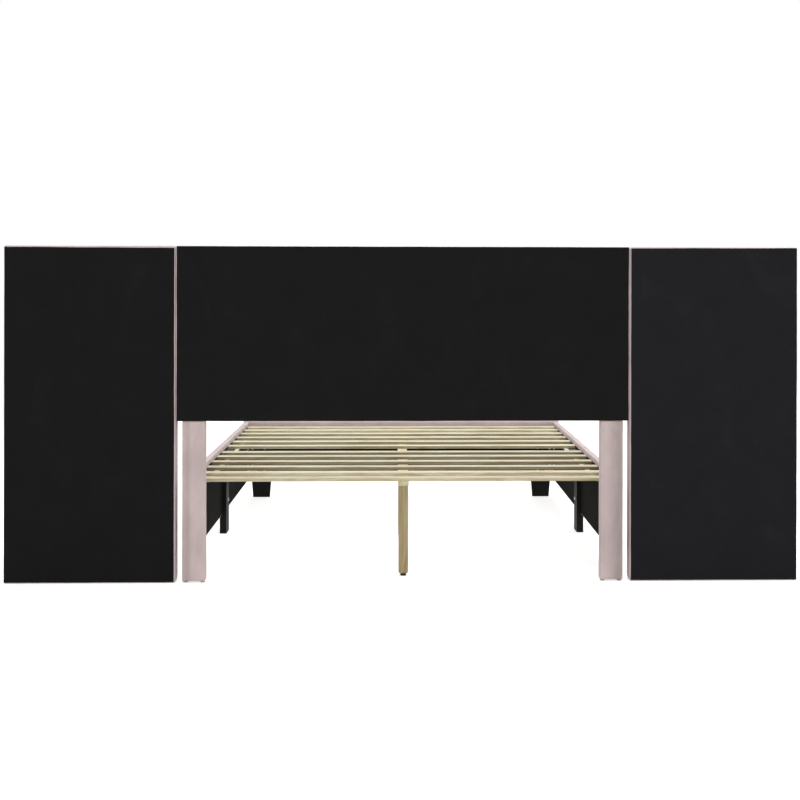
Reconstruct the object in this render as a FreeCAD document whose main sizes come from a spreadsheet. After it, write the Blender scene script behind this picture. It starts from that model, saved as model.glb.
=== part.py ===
import FreeCAD, Part
import Sketcher
import os
import re

# An upholstered platform bed with a wide headboard in three panels.
# The origin is on the floor at the middle of the bed. +Y runs from head to foot, +Z is up.
# Left is -X and right is +X, as seen from behind the headboard.

# Driving sizes in millimetres
SIZES = {
    "overall_width": 2906,
    "overall_length": 2172,
    "overall_height": 1230,
    "centre_panel_width": 1664,
    "centre_panel_bottom": 591,
    "seam_gap": 1,
    "cover_thickness": 2,
    "backing_thickness": 1,
    "backing_inset": 4,
    "flap_width": 40,
    "frame_depth": 36,
    "frame_timber": 40,
    "face_board_thickness": 12,
    "pad_foam": 33.7,
    "pad_crown": 8,
    "pad_roundover": 20,
    "pad_corner": 5,
    "soft_clearance": 0.3,
    "post_width": 84,
    "post_glide_width": 17,
    "post_glide_height": 6,
    "post_glide_inset": 10.5,
    "rail_spread": 1615,
    "rail_top": 383,
    "rail_bottom": 80,
    "rail_side_foam": 6,
    "rail_top_foam": 4,
    "rail_board_thickness": 12,
    "edge_strip_thickness": 4.5,
    "edge_strip_height": 14,
    "end_strip_width": 66,
    "lining_thickness": 1,
    "rail_outer_round": 8,
    "rail_inner_round": 5,
    "foot_rail_rise": 8,
    "foot_rail_round": 12,
    "slat_top": 364.5,
    "slat_thickness": 12,
    "slat_width": 64,
    "slat_end_gap": 2.5,
    "slat_round": 2,
    "strap_width": 18,
    "strap_thickness": 1,
    "strap_inset": 46,
    "ledger_width": 40,
    "ledger_height": 25,
    "ledger_thickness": 3,
    "beam_width": 41,
    "beam_thickness": 15,
    "beam_head_gap": 15,
    "beam_foot_gap": 0.5,
    "centre_leg_width": 36,
    "centre_leg_chamfer": 6,
    "leveller_width": 22,
    "leveller_height": 8.7,
    "leveller_gap": 0.3,
    "leveller_stem": 8,
    "leveller_reach": 40,
    "insert_width": 13,
    "insert_length": 22,
    "mid_leg_thickness": 29,
    "mid_leg_length": 100,
    "mid_leg_proud": 13,
    "foot_width": 97,
    "foot_base_width": 84,
    "foot_thickness": 24.5,
    "foot_base_thickness": 20,
    "foot_offset": 92,
    "foot_tongue_width": 66,
    "hanger_thickness": 2.5,
    "hanger_reach": 35,
    "hanger_wing": 22,
    "hanger_height": 40,
    "bracket_thickness": 3,
    "bracket_leg": 52,
    "bracket_height": 140,
    "bracket_rise": 60,
    "bracket_bolt_rise": 80,
    "bracket_bolt_inset": 26,
    "leg_bolt_rise": 62,
    "leg_bolt_spacing": 110,
    "bolt_width": 8,
    "bolt_head_width": 14,
    "bolt_head_height": 5,
    "tee_nut_width": 20,
    "tee_nut_flange": 1.5,
    "tee_nut_barrel": 10.5,
    "tee_nut_length": 9,
    "seam_plate_height": 90,
    "seam_plate_depth": 26,
    "seam_slot_width": 10,
    "seam_slot_height": 30,
    "hook_drop": 12,
    "hook_thickness": 3,
    "hook_clearance": 0.5,
    "screw_width": 4,
    "screw_head_width": 8,
    "screw_head_height": 2,
    "screw_length": 12,
    "beam_screw_length": 45,
    "overrun": 5,
}

# Places along a length, as shares of it
SLAT_SHARES = (0.030, 0.107, 0.192, 0.277, 0.362, 0.438, 0.557, 0.644, 0.730, 0.815, 0.898, 0.972)
CENTRE_LEG_SHARES = (0.0, 0.415, 0.523)
CENTRE_LEG_NAMES = ("head", "middle", "foot")
LEDGER_SCREW_SHARES = (0.05, 0.27, 0.40, 0.60, 0.73, 0.95)
SEAM_PLATE_SHARES = (0.15, 0.80)
UPRIGHT_SHARES = (-1 / 6, 1 / 6)
WING_RAIL_SHARE = 0.5
# The pad's rounded edge: share of the roundover drawn in, and share of its rise
ROUND_SHARES = ((0.0, 0.0), (0.08, 0.42), (0.30, 0.75), (0.62, 0.94), (1.0, 1.0))
# The crown: share of the shorter half side drawn in, and share of the crown's rise
CROWN_SHARES = ((0.24, 0.62), (0.45, 0.93), (0.57, 1.0))
CROWN_CORNER_SHARE = 0.5

# Planes worked out from the sizes
PLANES = {
    "back": "-overall_length / 2",
    "foot_face": "overall_length / 2",
    "flap_back": "back + backing_thickness",
    "frame_back": "flap_back + cover_thickness",
    "frame_front": "frame_back + frame_depth",
    "board_front": "frame_front + face_board_thickness",
    "post_front": "frame_front + cover_thickness",
    "panel_side": "centre_panel_width / 2",
    "wing_inner": "panel_side + seam_gap",
    "wing_outer": "overall_width / 2",
    "rail_outer": "rail_spread / 2",
    "foam_outer": "rail_outer - cover_thickness",
    "rail_board_outer": "foam_outer - rail_side_foam",
    "rail_board_inner": "rail_board_outer - rail_board_thickness",
    "lining_inner": "rail_board_inner - lining_thickness",
    "rail_inner": "rail_board_inner - edge_strip_thickness - cover_thickness",
    "rail_thickness": "rail_outer - rail_inner",
    "foot_inner": "foot_face - rail_thickness",
    "foot_top": "rail_top + foot_rail_rise",
    "foot_board_outer": "foot_face - cover_thickness - rail_side_foam",
    "foot_board_inner": "foot_board_outer - rail_board_thickness",
    "foot_lining_inner": "foot_board_inner - lining_thickness",
    "mid_leg_inner": "rail_inner - mid_leg_proud",
    "rail_head_end": "post_front + soft_clearance",
    "rail_foot_end": "foot_inner - soft_clearance",
    "rail_base": "rail_bottom + cover_thickness",
    "strip_top": "rail_top - cover_thickness - rail_top_foam",
    "strip_base": "strip_top - edge_strip_height",
    "band_base": "strip_base - cover_thickness",
    "slat_base": "slat_top - slat_thickness",
    "beam_base": "slat_base - beam_thickness",
    "ledger_base": "slat_base - ledger_height",
    "ledger_inner": "lining_inner - ledger_width",
    "ledger_face": "lining_inner - ledger_thickness",
    "deck_head": "board_front + pad_foam + pad_crown + cover_thickness",
    "deck_length": "foot_inner - deck_head",
    "slat_half": "rail_inner - slat_end_gap",
    "beam_head": "deck_head + beam_head_gap",
    "beam_foot": "foot_lining_inner - hanger_thickness - beam_foot_gap",
    "leg_base": "leveller_height + leveller_gap",
    "bracket_base": "rail_bottom + bracket_rise",
    "post_centre": "rail_outer - post_width / 2",
    "post_base": "post_glide_height + cover_thickness",
    "foot_centre": "rail_outer - foot_offset",
    "stile_inner": "rail_outer - cover_thickness",
    "stile_outer": "panel_side - cover_thickness",
    "frame_middle": "frame_back + frame_depth / 2",
}

doc = FreeCAD.newDocument("platform_bed")
sheet = doc.addObject("Spreadsheet::Sheet", "Sizes")
for row, (alias, value) in enumerate(SIZES.items(), start=1):
    sheet.set("A%d" % row, alias.replace("_", " "))
    sheet.set("B%d" % row, str(value))
    sheet.setAlias("B%d" % row, alias)
doc.recompute()

nodes = {}


# Writing and reading expressions

def sized(text):
    """The expression with each plane worked out and each size read from the sheet."""
    def swap(match):
        word = match.group(0)
        if word in PLANES:
            return "(" + sized(PLANES[word]) + ")"
        if word in SIZES:
            return "Sizes." + word
        return word
    return re.sub(r"[a-z][a-z_]*", swap, str(text))


def length_of(text):
    """The number that an expression gives."""
    return float(sheet.evalExpression(sized(text)))


def bind(item, prop, text):
    item.setExpression(prop, sized(text))


def place(item, where):
    for axis, text in zip("xyz", where):
        bind(item, "Placement.Base." + axis, text)


def along(start, length, share):
    return "(%s) + (%s) * %.6f" % (start, length, share)


def mirrored(span, side):
    """A span along X on the right, or its mirror image on the left."""
    if side > 0:
        return span
    return ("-(%s)" % span[1], "-(%s)" % span[0])


SIDES = (("left", -1), ("right", 1))


# Solids

def block(name, across, along_y, up):
    """A box between two planes on each axis."""
    box = doc.addObject("Part::Box", name)
    for prop, span in zip(("Length", "Width", "Height"), (across, along_y, up)):
        bind(box, prop, "(%s) - (%s)" % (span[1], span[0]))
    place(box, (across[0], along_y[0], up[0]))
    return box


TURNS = {
    "+X": FreeCAD.Rotation(FreeCAD.Vector(0, 1, 0), 90),
    "-X": FreeCAD.Rotation(FreeCAD.Vector(0, 1, 0), -90),
    "+Y": FreeCAD.Rotation(FreeCAD.Vector(1, 0, 0), -90),
    "-Y": FreeCAD.Rotation(FreeCAD.Vector(1, 0, 0), 90),
    "+Z": FreeCAD.Rotation(),
    "-Z": FreeCAD.Rotation(FreeCAD.Vector(1, 0, 0), 180),
}


def disc(name, start, toward, width, length):
    """A round bar from a point along one axis."""
    bar = doc.addObject("Part::Cylinder", name)
    bind(bar, "Radius", "(%s) / 2" % width)
    bind(bar, "Height", length)
    bar.Placement.Rotation = TURNS[toward]
    place(bar, start)
    return bar


def cone(name, start, toward, width, end_width, length):
    taper = doc.addObject("Part::Cone", name)
    bind(taper, "Radius1", "(%s) / 2" % width)
    bind(taper, "Radius2", "(%s) / 2" % end_width)
    bind(taper, "Height", length)
    taper.Placement.Rotation = TURNS[toward]
    place(taper, start)
    return taper


def moved(start, toward, distance):
    """A point moved along one axis."""
    shifted = list(start)
    index = "XYZ".index(toward[1])
    shifted[index] = "(%s) %s (%s)" % (shifted[index], toward[0], distance)
    return tuple(shifted)


def fuse(name, parts):
    joined = doc.addObject("Part::MultiFuse", name)
    joined.Shapes = parts
    return joined


def cut(name, base, tools):
    """The base with every tool taken away."""
    tool = tools[0]
    if len(tools) > 1:
        tool = doc.addObject("Part::Compound", name + "_tools")
        tool.Links = tools
    result = doc.addObject("Part::Cut", name)
    result.Base = base
    result.Tool = tool
    return result


def rounded(name, base, edges):
    """The base with fillets; each entry names an edge by direction and two corner sides."""
    doc.recompute()
    box = base.Shape.BoundBox
    low = (box.XMin, box.YMin, box.ZMin)
    high = (box.XMax, box.YMax, box.ZMax)
    chosen = []
    for direction, sides, radius in edges:
        axis = "XYZ".index(direction)
        others = [index for index in range(3) if index != axis]
        for number, edge in enumerate(base.Shape.Edges, start=1):
            points = [vertex.Point for vertex in edge.Vertexes]
            if len(points) < 2:
                continue
            matches = True
            for index, side in zip(others, sides):
                target = high[index] if side == "+" else low[index]
                matches = matches and all(abs(point[index] - target) < Part.Precision.approximation()
                                          for point in points)
            if matches:
                chosen.append((number, length_of(radius), length_of(radius)))
    result = doc.addObject("Part::Fillet", name)
    result.Base = base
    result.Edges = chosen
    return result


def group(name, parts):
    gathered = doc.addObject("Part::Compound", name)
    gathered.Links = parts
    return gathered


def node(name, item):
    """Keep an object as the sub-part of that name."""
    item.Label = name
    nodes[name] = item
    return item


# Fasteners, each drawn from its seat along the way it is driven

holes = {}


def drill(piece, hole):
    holes.setdefault(piece, []).append(hole)


bolts = []
tee_nuts = []
screws = []


def bolt(seat, toward, grip, through):
    """A hex bolt seated at a point, with its tee nut at the far side of the grip."""
    count = len(bolts)
    head_start = moved(seat, toward, "-bolt_head_height")
    head = disc("bolt_head_%d" % count, head_start, toward, "bolt_head_width", "bolt_head_height")
    shank = disc("bolt_shank_%d" % count, seat, toward, "bolt_width", grip)
    bolts.append(fuse("bolt_%d" % count, [head, shank]))
    flange_start = moved(seat, toward, "(%s) - tee_nut_flange" % grip)
    barrel_start = moved(seat, toward, "(%s) - tee_nut_length" % grip)
    flange = disc("nut_flange_%d" % count, flange_start, toward, "tee_nut_width", "tee_nut_flange")
    barrel = disc("nut_barrel_%d" % count, barrel_start, toward, "tee_nut_barrel", "tee_nut_length")
    thread = disc("nut_thread_%d" % count, seat, toward, "bolt_width", grip)
    tee_nuts.append(cut("tee_nut_%d" % count, fuse("nut_body_%d" % count, [flange, barrel]), [thread]))
    for piece in through:
        drill(piece, disc("hole_%s_%d" % (piece, count), seat, toward, "bolt_width", grip))
    for tool in (flange, barrel):
        drill(through[-1], tool)


def screw(seat, toward, length, through):
    """A countersunk wood screw, flush with its seat."""
    count = len(screws)
    head = cone("screw_head_%d" % count, seat, toward, "screw_head_width", "screw_width", "screw_head_height")
    shank = disc("screw_shank_%d" % count, seat, toward, "screw_width", length)
    body = fuse("screw_%d" % count, [head, shank])
    screws.append(body)
    for piece in through:
        drill(piece, body)


def drilled(name, item):
    """The node with its bolt and screw holes."""
    if name not in holes:
        return node(name, item)
    return node(name, cut(name + "_drilled", item, holes[name]))


# Padded panels

def rounded_outline(body, name, plane_offset, half_width, half_height, radius):
    """A sketch of a rectangle with round corners, centred on the body's own Z axis."""
    sketch = body.newObject("Sketcher::SketchObject", name)
    origin_plane = [item for item in body.Origin.OriginFeatures if item.Role == "XY_Plane"][0]
    sketch.AttachmentSupport = [(origin_plane, "")]
    sketch.MapMode = "FlatFace"
    bind(sketch, "AttachmentOffset.Base.z", plane_offset)
    wide = length_of(half_width)
    tall = length_of(half_height)
    bend = length_of(radius)
    quarter = FreeCAD.Units.Quantity("90 deg").getValueAs("rad").Value
    corners = ((1, 1, 0), (-1, 1, 1), (-1, -1, 2), (1, -1, 3))
    for sign_x, sign_y, turn in corners:
        centre = FreeCAD.Vector(sign_x * (wide - bend), sign_y * (tall - bend), 0)
        circle = Part.Circle(centre, FreeCAD.Vector(0, 0, 1), bend)
        sketch.addGeometry(Part.ArcOfCircle(circle, turn * quarter, (turn + 1) * quarter))
    for index in range(4):
        start = sketch.getPoint(index, 2)
        end = sketch.getPoint((index + 1) % 4, 1)
        sketch.addGeometry(Part.LineSegment(start, end))
    for index in range(4):
        sketch.addConstraint(Sketcher.Constraint("Tangent", index, 2, index + 4, 1))
        sketch.addConstraint(Sketcher.Constraint("Tangent", index + 4, 2, (index + 1) % 4, 1))
    for index in range(1, 4):
        sketch.addConstraint(Sketcher.Constraint("Equal", 0, index))
    sketch.addConstraint(Sketcher.Constraint("Horizontal", 4))
    sketch.addConstraint(Sketcher.Constraint("Vertical", 5))
    named = (
        ("Radius", (0, bend), radius, "bend"),
        ("DistanceX", (5, 1, -1, 1, wide), half_width, "left"),
        ("DistanceX", (-1, 1, 7, 1, wide), half_width, "right"),
        ("DistanceY", (-1, 1, 4, 1, tall), half_height, "top"),
        ("DistanceY", (6, 1, -1, 1, tall), half_height, "bottom"),
    )
    for kind, values, text, label in named:
        place_in_list = sketch.addConstraint(Sketcher.Constraint(kind, *values))
        sketch.renameConstraint(place_in_list, label)
        bind(sketch, "Constraints." + label, text)
    return sketch


def pad_sections(inset, back_depth, half_width, half_height, shorter_half):
    """Depth, half sizes and corner of each section from the back to the crown."""
    width = "((%s) - (%s))" % (half_width, inset)
    height = "((%s) - (%s))" % (half_height, inset)
    edge = "(frame_depth + face_board_thickness + pad_foam - pad_roundover)"
    roll = "(pad_roundover + cover_thickness - (%s))" % inset
    sections = [(back_depth, width, height, "pad_corner")]
    for drawn, rise in ROUND_SHARES:
        sections.append((
            "%s + %s * %.6f" % (edge, roll, rise),
            "%s - %s * %.6f" % (width, roll, drawn),
            "%s - %s * %.6f" % (height, roll, drawn),
            "pad_corner + %s * %.6f" % (roll, drawn * CROWN_CORNER_SHARE),
        ))
    for drawn, rise in CROWN_SHARES:
        reach = "(%s) * %.6f" % (shorter_half, drawn)
        sections.append((
            "%s + %s + pad_crown * %.6f" % (edge, roll, rise),
            "%s - %s - %s" % (width, roll, reach),
            "%s - %s - %s" % (height, roll, reach),
            "pad_corner + (%s + %s) * %.6f" % (roll, reach, CROWN_CORNER_SHARE),
        ))
    return sections


def add_loft(body, name, kind, sections):
    sketches = []
    for index, (depth, width, height, corner) in enumerate(sections):
        label = "%s_section_%d" % (name, index)
        sketches.append(rounded_outline(body, label, depth, width, height, corner))
    doc.recompute()
    loft = body.newObject(kind, name)
    loft.Profile = sketches[0]
    loft.Sections = sketches[1:]
    loft.Ruled = True
    return loft


def pad_body(name, middle, rise, back_plane):
    """A body that faces the foot of the bed, with its own Z axis along +Y of the bed."""
    body = doc.addObject("PartDesign::Body", name)
    body.Placement.Rotation = TURNS["+Y"]
    place(body, (middle, back_plane, rise))
    return body


def foam_pad(name, middle, rise, half_width, half_height, shorter_half):
    body = pad_body(name + "_body", middle, rise, "frame_back")
    inset = "(cover_thickness + soft_clearance)"
    sections = pad_sections(inset, "frame_depth + face_board_thickness", half_width, half_height,
                            shorter_half)
    add_loft(body, name + "_loft", "PartDesign::AdditiveLoft", sections)
    return body


def panel_cover(name, middle, rise, half_width, half_height, shorter_half):
    """The velvet shell: the outer form less the inner form, open at the back within its flaps."""
    shell = pad_body(name + "_outer", middle, rise, "frame_back")
    outer = pad_sections("0", "-cover_thickness", half_width, half_height, shorter_half)
    add_loft(shell, name + "_outer_loft", "PartDesign::AdditiveLoft", outer)
    hollow = pad_body(name + "_inner", middle, rise, "frame_back")
    inner = pad_sections("cover_thickness", "0", half_width, half_height, shorter_half)
    add_loft(hollow, name + "_inner_loft", "PartDesign::AdditiveLoft", inner)
    room_wide = "(%s) - cover_thickness" % half_width
    room_tall = "(%s) - cover_thickness" % half_height
    room = block(name + "_room",
                 ("(%s) - (%s)" % (middle, room_wide), "(%s) + (%s)" % (middle, room_wide)),
                 ("frame_back", "board_front"),
                 ("(%s) - (%s)" % (rise, room_tall), "(%s) + (%s)" % (rise, room_tall)))
    reach = "(%s) - flap_width" % half_width
    tall = "(%s) - flap_width" % half_height
    window = block(name + "_window",
                   ("(%s) - (%s)" % (middle, reach), "(%s) + (%s)" % (middle, reach)),
                   ("flap_back - overrun", "frame_back + overrun"),
                   ("(%s) - (%s)" % (rise, tall), "(%s) + (%s)" % (rise, tall)))
    return cut(name + "_shell", shell, [fuse(name + "_space", [hollow, room, window])])


def panel_backing(name, middle, rise, half_width, half_height):
    """The black cover over the back, inset from the panel's edges."""
    return block(name,
                 ("(%s) - (%s) + backing_inset" % (middle, half_width),
                  "(%s) + (%s) - backing_inset" % (middle, half_width)),
                 ("back", "flap_back"),
                 ("(%s) - (%s) + backing_inset" % (rise, half_height),
                  "(%s) + (%s) - backing_inset" % (rise, half_height)))


def timber(name, across, up):
    """A frame member as deep as the frame."""
    return block(name, across, ("frame_back", "frame_front"), up)


# Centre panel

CENTRE_HALF = "centre_panel_width / 2"
CENTRE_TALL = "(overall_height - centre_panel_bottom) / 2"
CENTRE_RISE = "(overall_height + centre_panel_bottom) / 2"
CENTRE_LOW = "centre_panel_bottom + cover_thickness"
CENTRE_HIGH = "overall_height - cover_thickness"
BRACKET_SPAN = ("bracket_base", "bracket_base + bracket_height")
BOLT_RISES = tuple("bracket_base + (bracket_height %s bracket_bolt_rise) / 2" % sign for sign in "-+")
LEG_BOLT_RISES = ("rail_bottom + leg_bolt_rise", "rail_bottom + leg_bolt_rise + leg_bolt_spacing")


def build_seam_plates():
    """Slotted plates on the centre panel's sides and hook plates on the wings."""
    slotted = []
    hooked = []
    for side_name, side in SIDES:
        for number, share in enumerate(SEAM_PLATE_SHARES):
            tag = "%s_%d" % (side_name, number)
            middle = along(CENTRE_LOW, CENTRE_HIGH + " - (" + CENTRE_LOW + ")", share)
            up = ("%s - seam_plate_height / 2" % middle, "%s + seam_plate_height / 2" % middle)
            deep = ("frame_middle - seam_plate_depth / 2", "frame_middle + seam_plate_depth / 2")
            slot_deep = ("frame_middle - seam_slot_width / 2", "frame_middle + seam_slot_width / 2")
            slot_up = ("%s - seam_slot_height / 2" % middle, "%s + seam_slot_height / 2" % middle)
            hook_deep = (slot_deep[0] + " + hook_clearance", slot_deep[1] + " - hook_clearance")
            neck_up = (slot_up[0] + " + hook_clearance", slot_up[0] + " + seam_slot_height / 2")
            inward = "stile_outer - hook_clearance"
            plate = block("slot_plate_" + tag, mirrored(("stile_outer", "panel_side"), side), deep, up)
            slot = block("slot_" + tag, mirrored(("stile_outer - overrun", "panel_side + overrun"), side),
                         slot_deep, slot_up)
            base = block("hook_plate_" + tag,
                         mirrored(("wing_inner", "wing_inner + cover_thickness"), side), deep, up)
            neck = block("hook_neck_" + tag,
                         mirrored((inward + " - hook_thickness", "wing_inner"), side), hook_deep, neck_up)
            drop = block("hook_drop_" + tag,
                         mirrored((inward + " - hook_thickness", inward), side), hook_deep,
                         (neck_up[0] + " - hook_drop", neck_up[1]))
            pocket = block("hook_pocket_" + tag,
                           mirrored((inward + " - hook_thickness - hook_clearance", "stile_outer"), side),
                           slot_deep, (slot_up[0] + " - hook_drop", slot_up[1]))
            plate_space = block("slot_space_" + tag,
                                mirrored(("stile_outer", "panel_side + overrun"), side), deep, up)
            hook_space = block("hook_space_" + tag,
                               mirrored(("wing_inner - overrun", "wing_inner + cover_thickness"), side),
                               deep, up)
            drill("headboard_frame", pocket)
            drill("headboard_cover", plate_space)
            drill("wing_cover_" + side_name, hook_space)
            toward_centre = "-X" if side > 0 else "+X"
            toward_wing = "+X" if side > 0 else "-X"
            plate_holes = []
            base_holes = []
            for sign in "-+":
                rise = "%s %s (seam_plate_height / 2 - screw_head_width)" % (middle, sign)
                seat = (mirrored(("panel_side", "panel_side"), side)[0], "frame_middle", rise)
                screw(seat, toward_centre, "screw_length", ("headboard_frame",))
                plate_holes.append(screws[-1])
                seat = (mirrored(("wing_inner", "wing_inner"), side)[0], "frame_middle", rise)
                screw(seat, toward_wing, "screw_length", ("wing_frame_" + side_name,))
                base_holes.append(screws[-1])
            slotted.append(cut("slotted_plate_" + tag, plate, [slot] + plate_holes))
            hook = fuse("hook_" + tag, [base, neck, drop])
            hooked.append(cut("hooked_plate_" + tag, hook, base_holes))
    node("seam_slot_plates", group("seam_slot_plates_group", slotted))
    node("seam_hook_plates", group("seam_hook_plates_group", hooked))


def build_brackets():
    """Angle brackets where the side rails meet the posts and the foot rail."""
    brackets = []
    for side_name, side in SIDES:
        toward_rail = "+X" if side > 0 else "-X"
        ends = (
            ("head", "post_front", "post_front + bracket_leg", "+", "post_" + side_name, "-Y"),
            ("foot", "foot_inner", "foot_inner - bracket_leg", "-", "foot_rail_board", "+Y"),
        )
        for end_name, face, reach, sign, carrier, toward_end in ends:
            tag = side_name + "_" + end_name
            spans = {"+": (face, reach), "-": (reach, face)}
            thin = {"+": (face, face + " + bracket_thickness"), "-": (face + " - bracket_thickness", face)}
            rail_leg = block("bracket_rail_leg_" + tag, mirrored(("ledger_face", "lining_inner"), side),
                             spans[sign], BRACKET_SPAN)
            end_leg = block("bracket_end_leg_" + tag,
                            mirrored(("lining_inner - bracket_leg", "lining_inner"), side),
                            thin[sign], BRACKET_SPAN)
            through_rail = "rail_board_outer - (ledger_face)"
            through_post = "bracket_thickness + 2 * cover_thickness + frame_depth - cover_thickness"
            through_foot = "bracket_thickness + foot_board_outer - (foot_inner)"
            for rise in BOLT_RISES:
                seat = (mirrored(("ledger_face", "ledger_face"), side)[0],
                        "%s %s bracket_bolt_inset" % (face, sign), rise)
                bolt(seat, toward_rail, through_rail,
                     ("bracket_" + tag, "rail_lining_" + side_name, "side_rail_board_" + side_name))
                inward = "lining_inner - bracket_bolt_inset"
                seat = (mirrored((inward, inward), side)[0], "%s %s bracket_thickness" % (face, sign), rise)
                if end_name == "head":
                    bolt(seat, toward_end, through_post,
                         ("bracket_" + tag, "post_sleeve_" + side_name, carrier))
                else:
                    bolt(seat, toward_end, through_foot,
                         ("bracket_" + tag, "foot_rail_cover", "foot_end_strip_" + side_name, carrier))
            angle = fuse("bracket_body_" + tag, [rail_leg, end_leg])
            brackets.append(cut("bracket_" + tag, angle, holes["bracket_" + tag]))
    node("corner_brackets", group("corner_brackets_group", brackets))


def build_legs():
    """Notched board legs under the side rails' middles and tapered feet under the foot rail."""
    middle = "(rail_head_end + foot_face) / 2"
    for side_name, side in SIDES:
        long = (middle + " - mid_leg_length / 2", middle + " + mid_leg_length / 2")
        lower = block("mid_leg_lower_" + side_name,
                      mirrored(("mid_leg_inner", "mid_leg_inner + mid_leg_thickness"), side), long,
                      ("0", "rail_bottom"))
        tongue = block("mid_leg_tongue_" + side_name, mirrored(("mid_leg_inner", "lining_inner"), side),
                       long, ("rail_bottom", "ledger_base"))
        toward_rail = "+X" if side > 0 else "-X"
        toward_foot = "+Y"
        for rise in LEG_BOLT_RISES:
            seat = (mirrored(("mid_leg_inner", "mid_leg_inner"), side)[0], middle, rise)
            bolt(seat, toward_rail, "rail_board_outer - (mid_leg_inner)",
                 ("mid_leg_" + side_name, "rail_lining_" + side_name, "side_rail_board_" + side_name))
        drilled("mid_leg_" + side_name, fuse("mid_leg_body_" + side_name, [lower, tongue]))
        wide = mirrored(("foot_centre - foot_width / 2", "foot_centre + foot_width / 2"), side)
        block_width = "foot_centre - foot_width / 2"
        tongue = block("foot_tongue_" + side_name,
                       mirrored((block_width, block_width + " + foot_tongue_width"), side),
                       ("foot_inner", "foot_lining_inner"), ("rail_bottom", "strip_base - cover_thickness"))
        taper = doc.addObject("Part::Wedge", "foot_taper_" + side_name)
        slim = "(foot_width - foot_base_width) / 2"
        thin = "(foot_thickness - foot_base_thickness) / 2"
        limits = (
            ("Xmin", slim), ("Xmax", "foot_width - " + slim), ("X2min", "0"), ("X2max", "foot_width"),
            ("Zmin", thin), ("Zmax", "foot_thickness - " + thin), ("Z2min", "0"), ("Z2max", "foot_thickness"),
            ("Ymin", "0"), ("Ymax", "rail_bottom"),
        )
        for prop, text in limits:
            bind(taper, prop, text)
        taper.Placement.Rotation = FreeCAD.Rotation(FreeCAD.Vector(1, 0, 0), 90)
        place(taper, (wide[0], "foot_inner + foot_thickness", "0"))
        tongue_middle = block_width + " + foot_tongue_width / 2"
        for rise in LEG_BOLT_RISES:
            seat = (mirrored((tongue_middle, tongue_middle), side)[0], "foot_inner", rise)
            bolt(seat, toward_foot, "foot_board_outer - (foot_inner)",
                 ("foot_" + side_name, "rail_lining_foot", "foot_rail_board"))
        drilled("foot_" + side_name, fuse("foot_body_" + side_name, [taper, tongue]))


def build_ledgers():
    """Steel angles along the side rails that carry the slat ends."""
    ledgers = []
    start = "post_front + bracket_leg"
    end = "foot_inner - bracket_thickness"
    for side_name, side in SIDES:
        upright = block("ledger_upright_" + side_name, mirrored(("ledger_face", "lining_inner"), side),
                        (start, end), ("ledger_base", "slat_base"))
        shelf = block("ledger_shelf_" + side_name, mirrored(("ledger_inner", "lining_inner"), side),
                      (start, end), ("slat_base - ledger_thickness", "slat_base"))
        toward_rail = "+X" if side > 0 else "-X"
        own_holes = []
        for share in LEDGER_SCREW_SHARES:
            seat = (mirrored(("ledger_face", "ledger_face"), side)[0],
                    along(start, "(%s) - (%s)" % (end, start), share),
                    "ledger_base + (ledger_height - ledger_thickness) / 2")
            screw(seat, toward_rail, "screw_length",
                  ("rail_lining_" + side_name, "side_rail_board_" + side_name))
            own_holes.append(screws[-1])
        angle = fuse("ledger_angle_" + side_name, [upright, shelf])
        ledgers.append(cut("ledger_" + side_name, angle, own_holes))
    node("slat_ledgers", group("slat_ledgers_group", ledgers))


def build_beam():
    """The flat centre beam, its legs with levelling glides, and its hanger on the foot rail."""
    wide = ("-beam_width / 2", "beam_width / 2")
    beam = block("beam_board", wide, ("beam_head", "beam_foot"), ("beam_base", "slat_base"))
    reach = "(beam_foot - (beam_head) - centre_leg_width)"
    half = "centre_leg_width / 2"
    legs = []
    inserts = []
    for name, share in zip(CENTRE_LEG_NAMES, CENTRE_LEG_SHARES):
        middle = along("beam_head + " + half, reach, share)
        leg = block("leg_block_" + name, ("-" + half, half), (middle + " - " + half, middle + " + " + half),
                    ("leg_base", "beam_base"))
        chamfer = doc.addObject("Part::Chamfer", "leg_chamfer_" + name)
        doc.recompute()
        chamfer.Base = leg
        size = length_of("centre_leg_chamfer")
        lowest = leg.Shape.BoundBox.ZMin
        chamfer.Edges = [(number, size, size) for number, edge in enumerate(leg.Shape.Edges, start=1)
                         if edge.BoundBox.ZMax - lowest < Part.Precision.approximation()]
        bore = disc("leg_bore_" + name, ("0", middle, "leg_base"), "+Z", "insert_width", "insert_length")
        stem_room = disc("leg_stem_room_" + name, ("0", middle, "leg_base"), "+Z",
                         "leveller_stem + 2 * leveller_gap", "leveller_reach + leveller_gap")
        for sign in "-+":
            seat = ("%s screw_head_width" % sign.replace("+", ""), middle, "slat_base")
            screw(seat, "-Z", "beam_screw_length", ("centre_beam", "leg_" + name))
        legs.append(cut("leg_" + name, chamfer, [bore, stem_room] + holes["leg_" + name]))
        insert_body = disc("insert_body_" + name, ("0", middle, "leg_base"), "+Z", "insert_width",
                           "insert_length")
        insert_bore = disc("insert_bore_" + name, ("0", middle, "leg_base - overrun"), "+Z",
                           "leveller_stem + 2 * leveller_gap", "insert_length + 2 * overrun")
        inserts.append(cut("insert_" + name, insert_body, [insert_bore]))
        build_leveller(name, middle)
    drilled("centre_beam", beam)
    node("centre_legs", group("centre_legs_group", legs))
    node("leveller_inserts", group("leveller_inserts_group", inserts))
    build_hanger()


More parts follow.
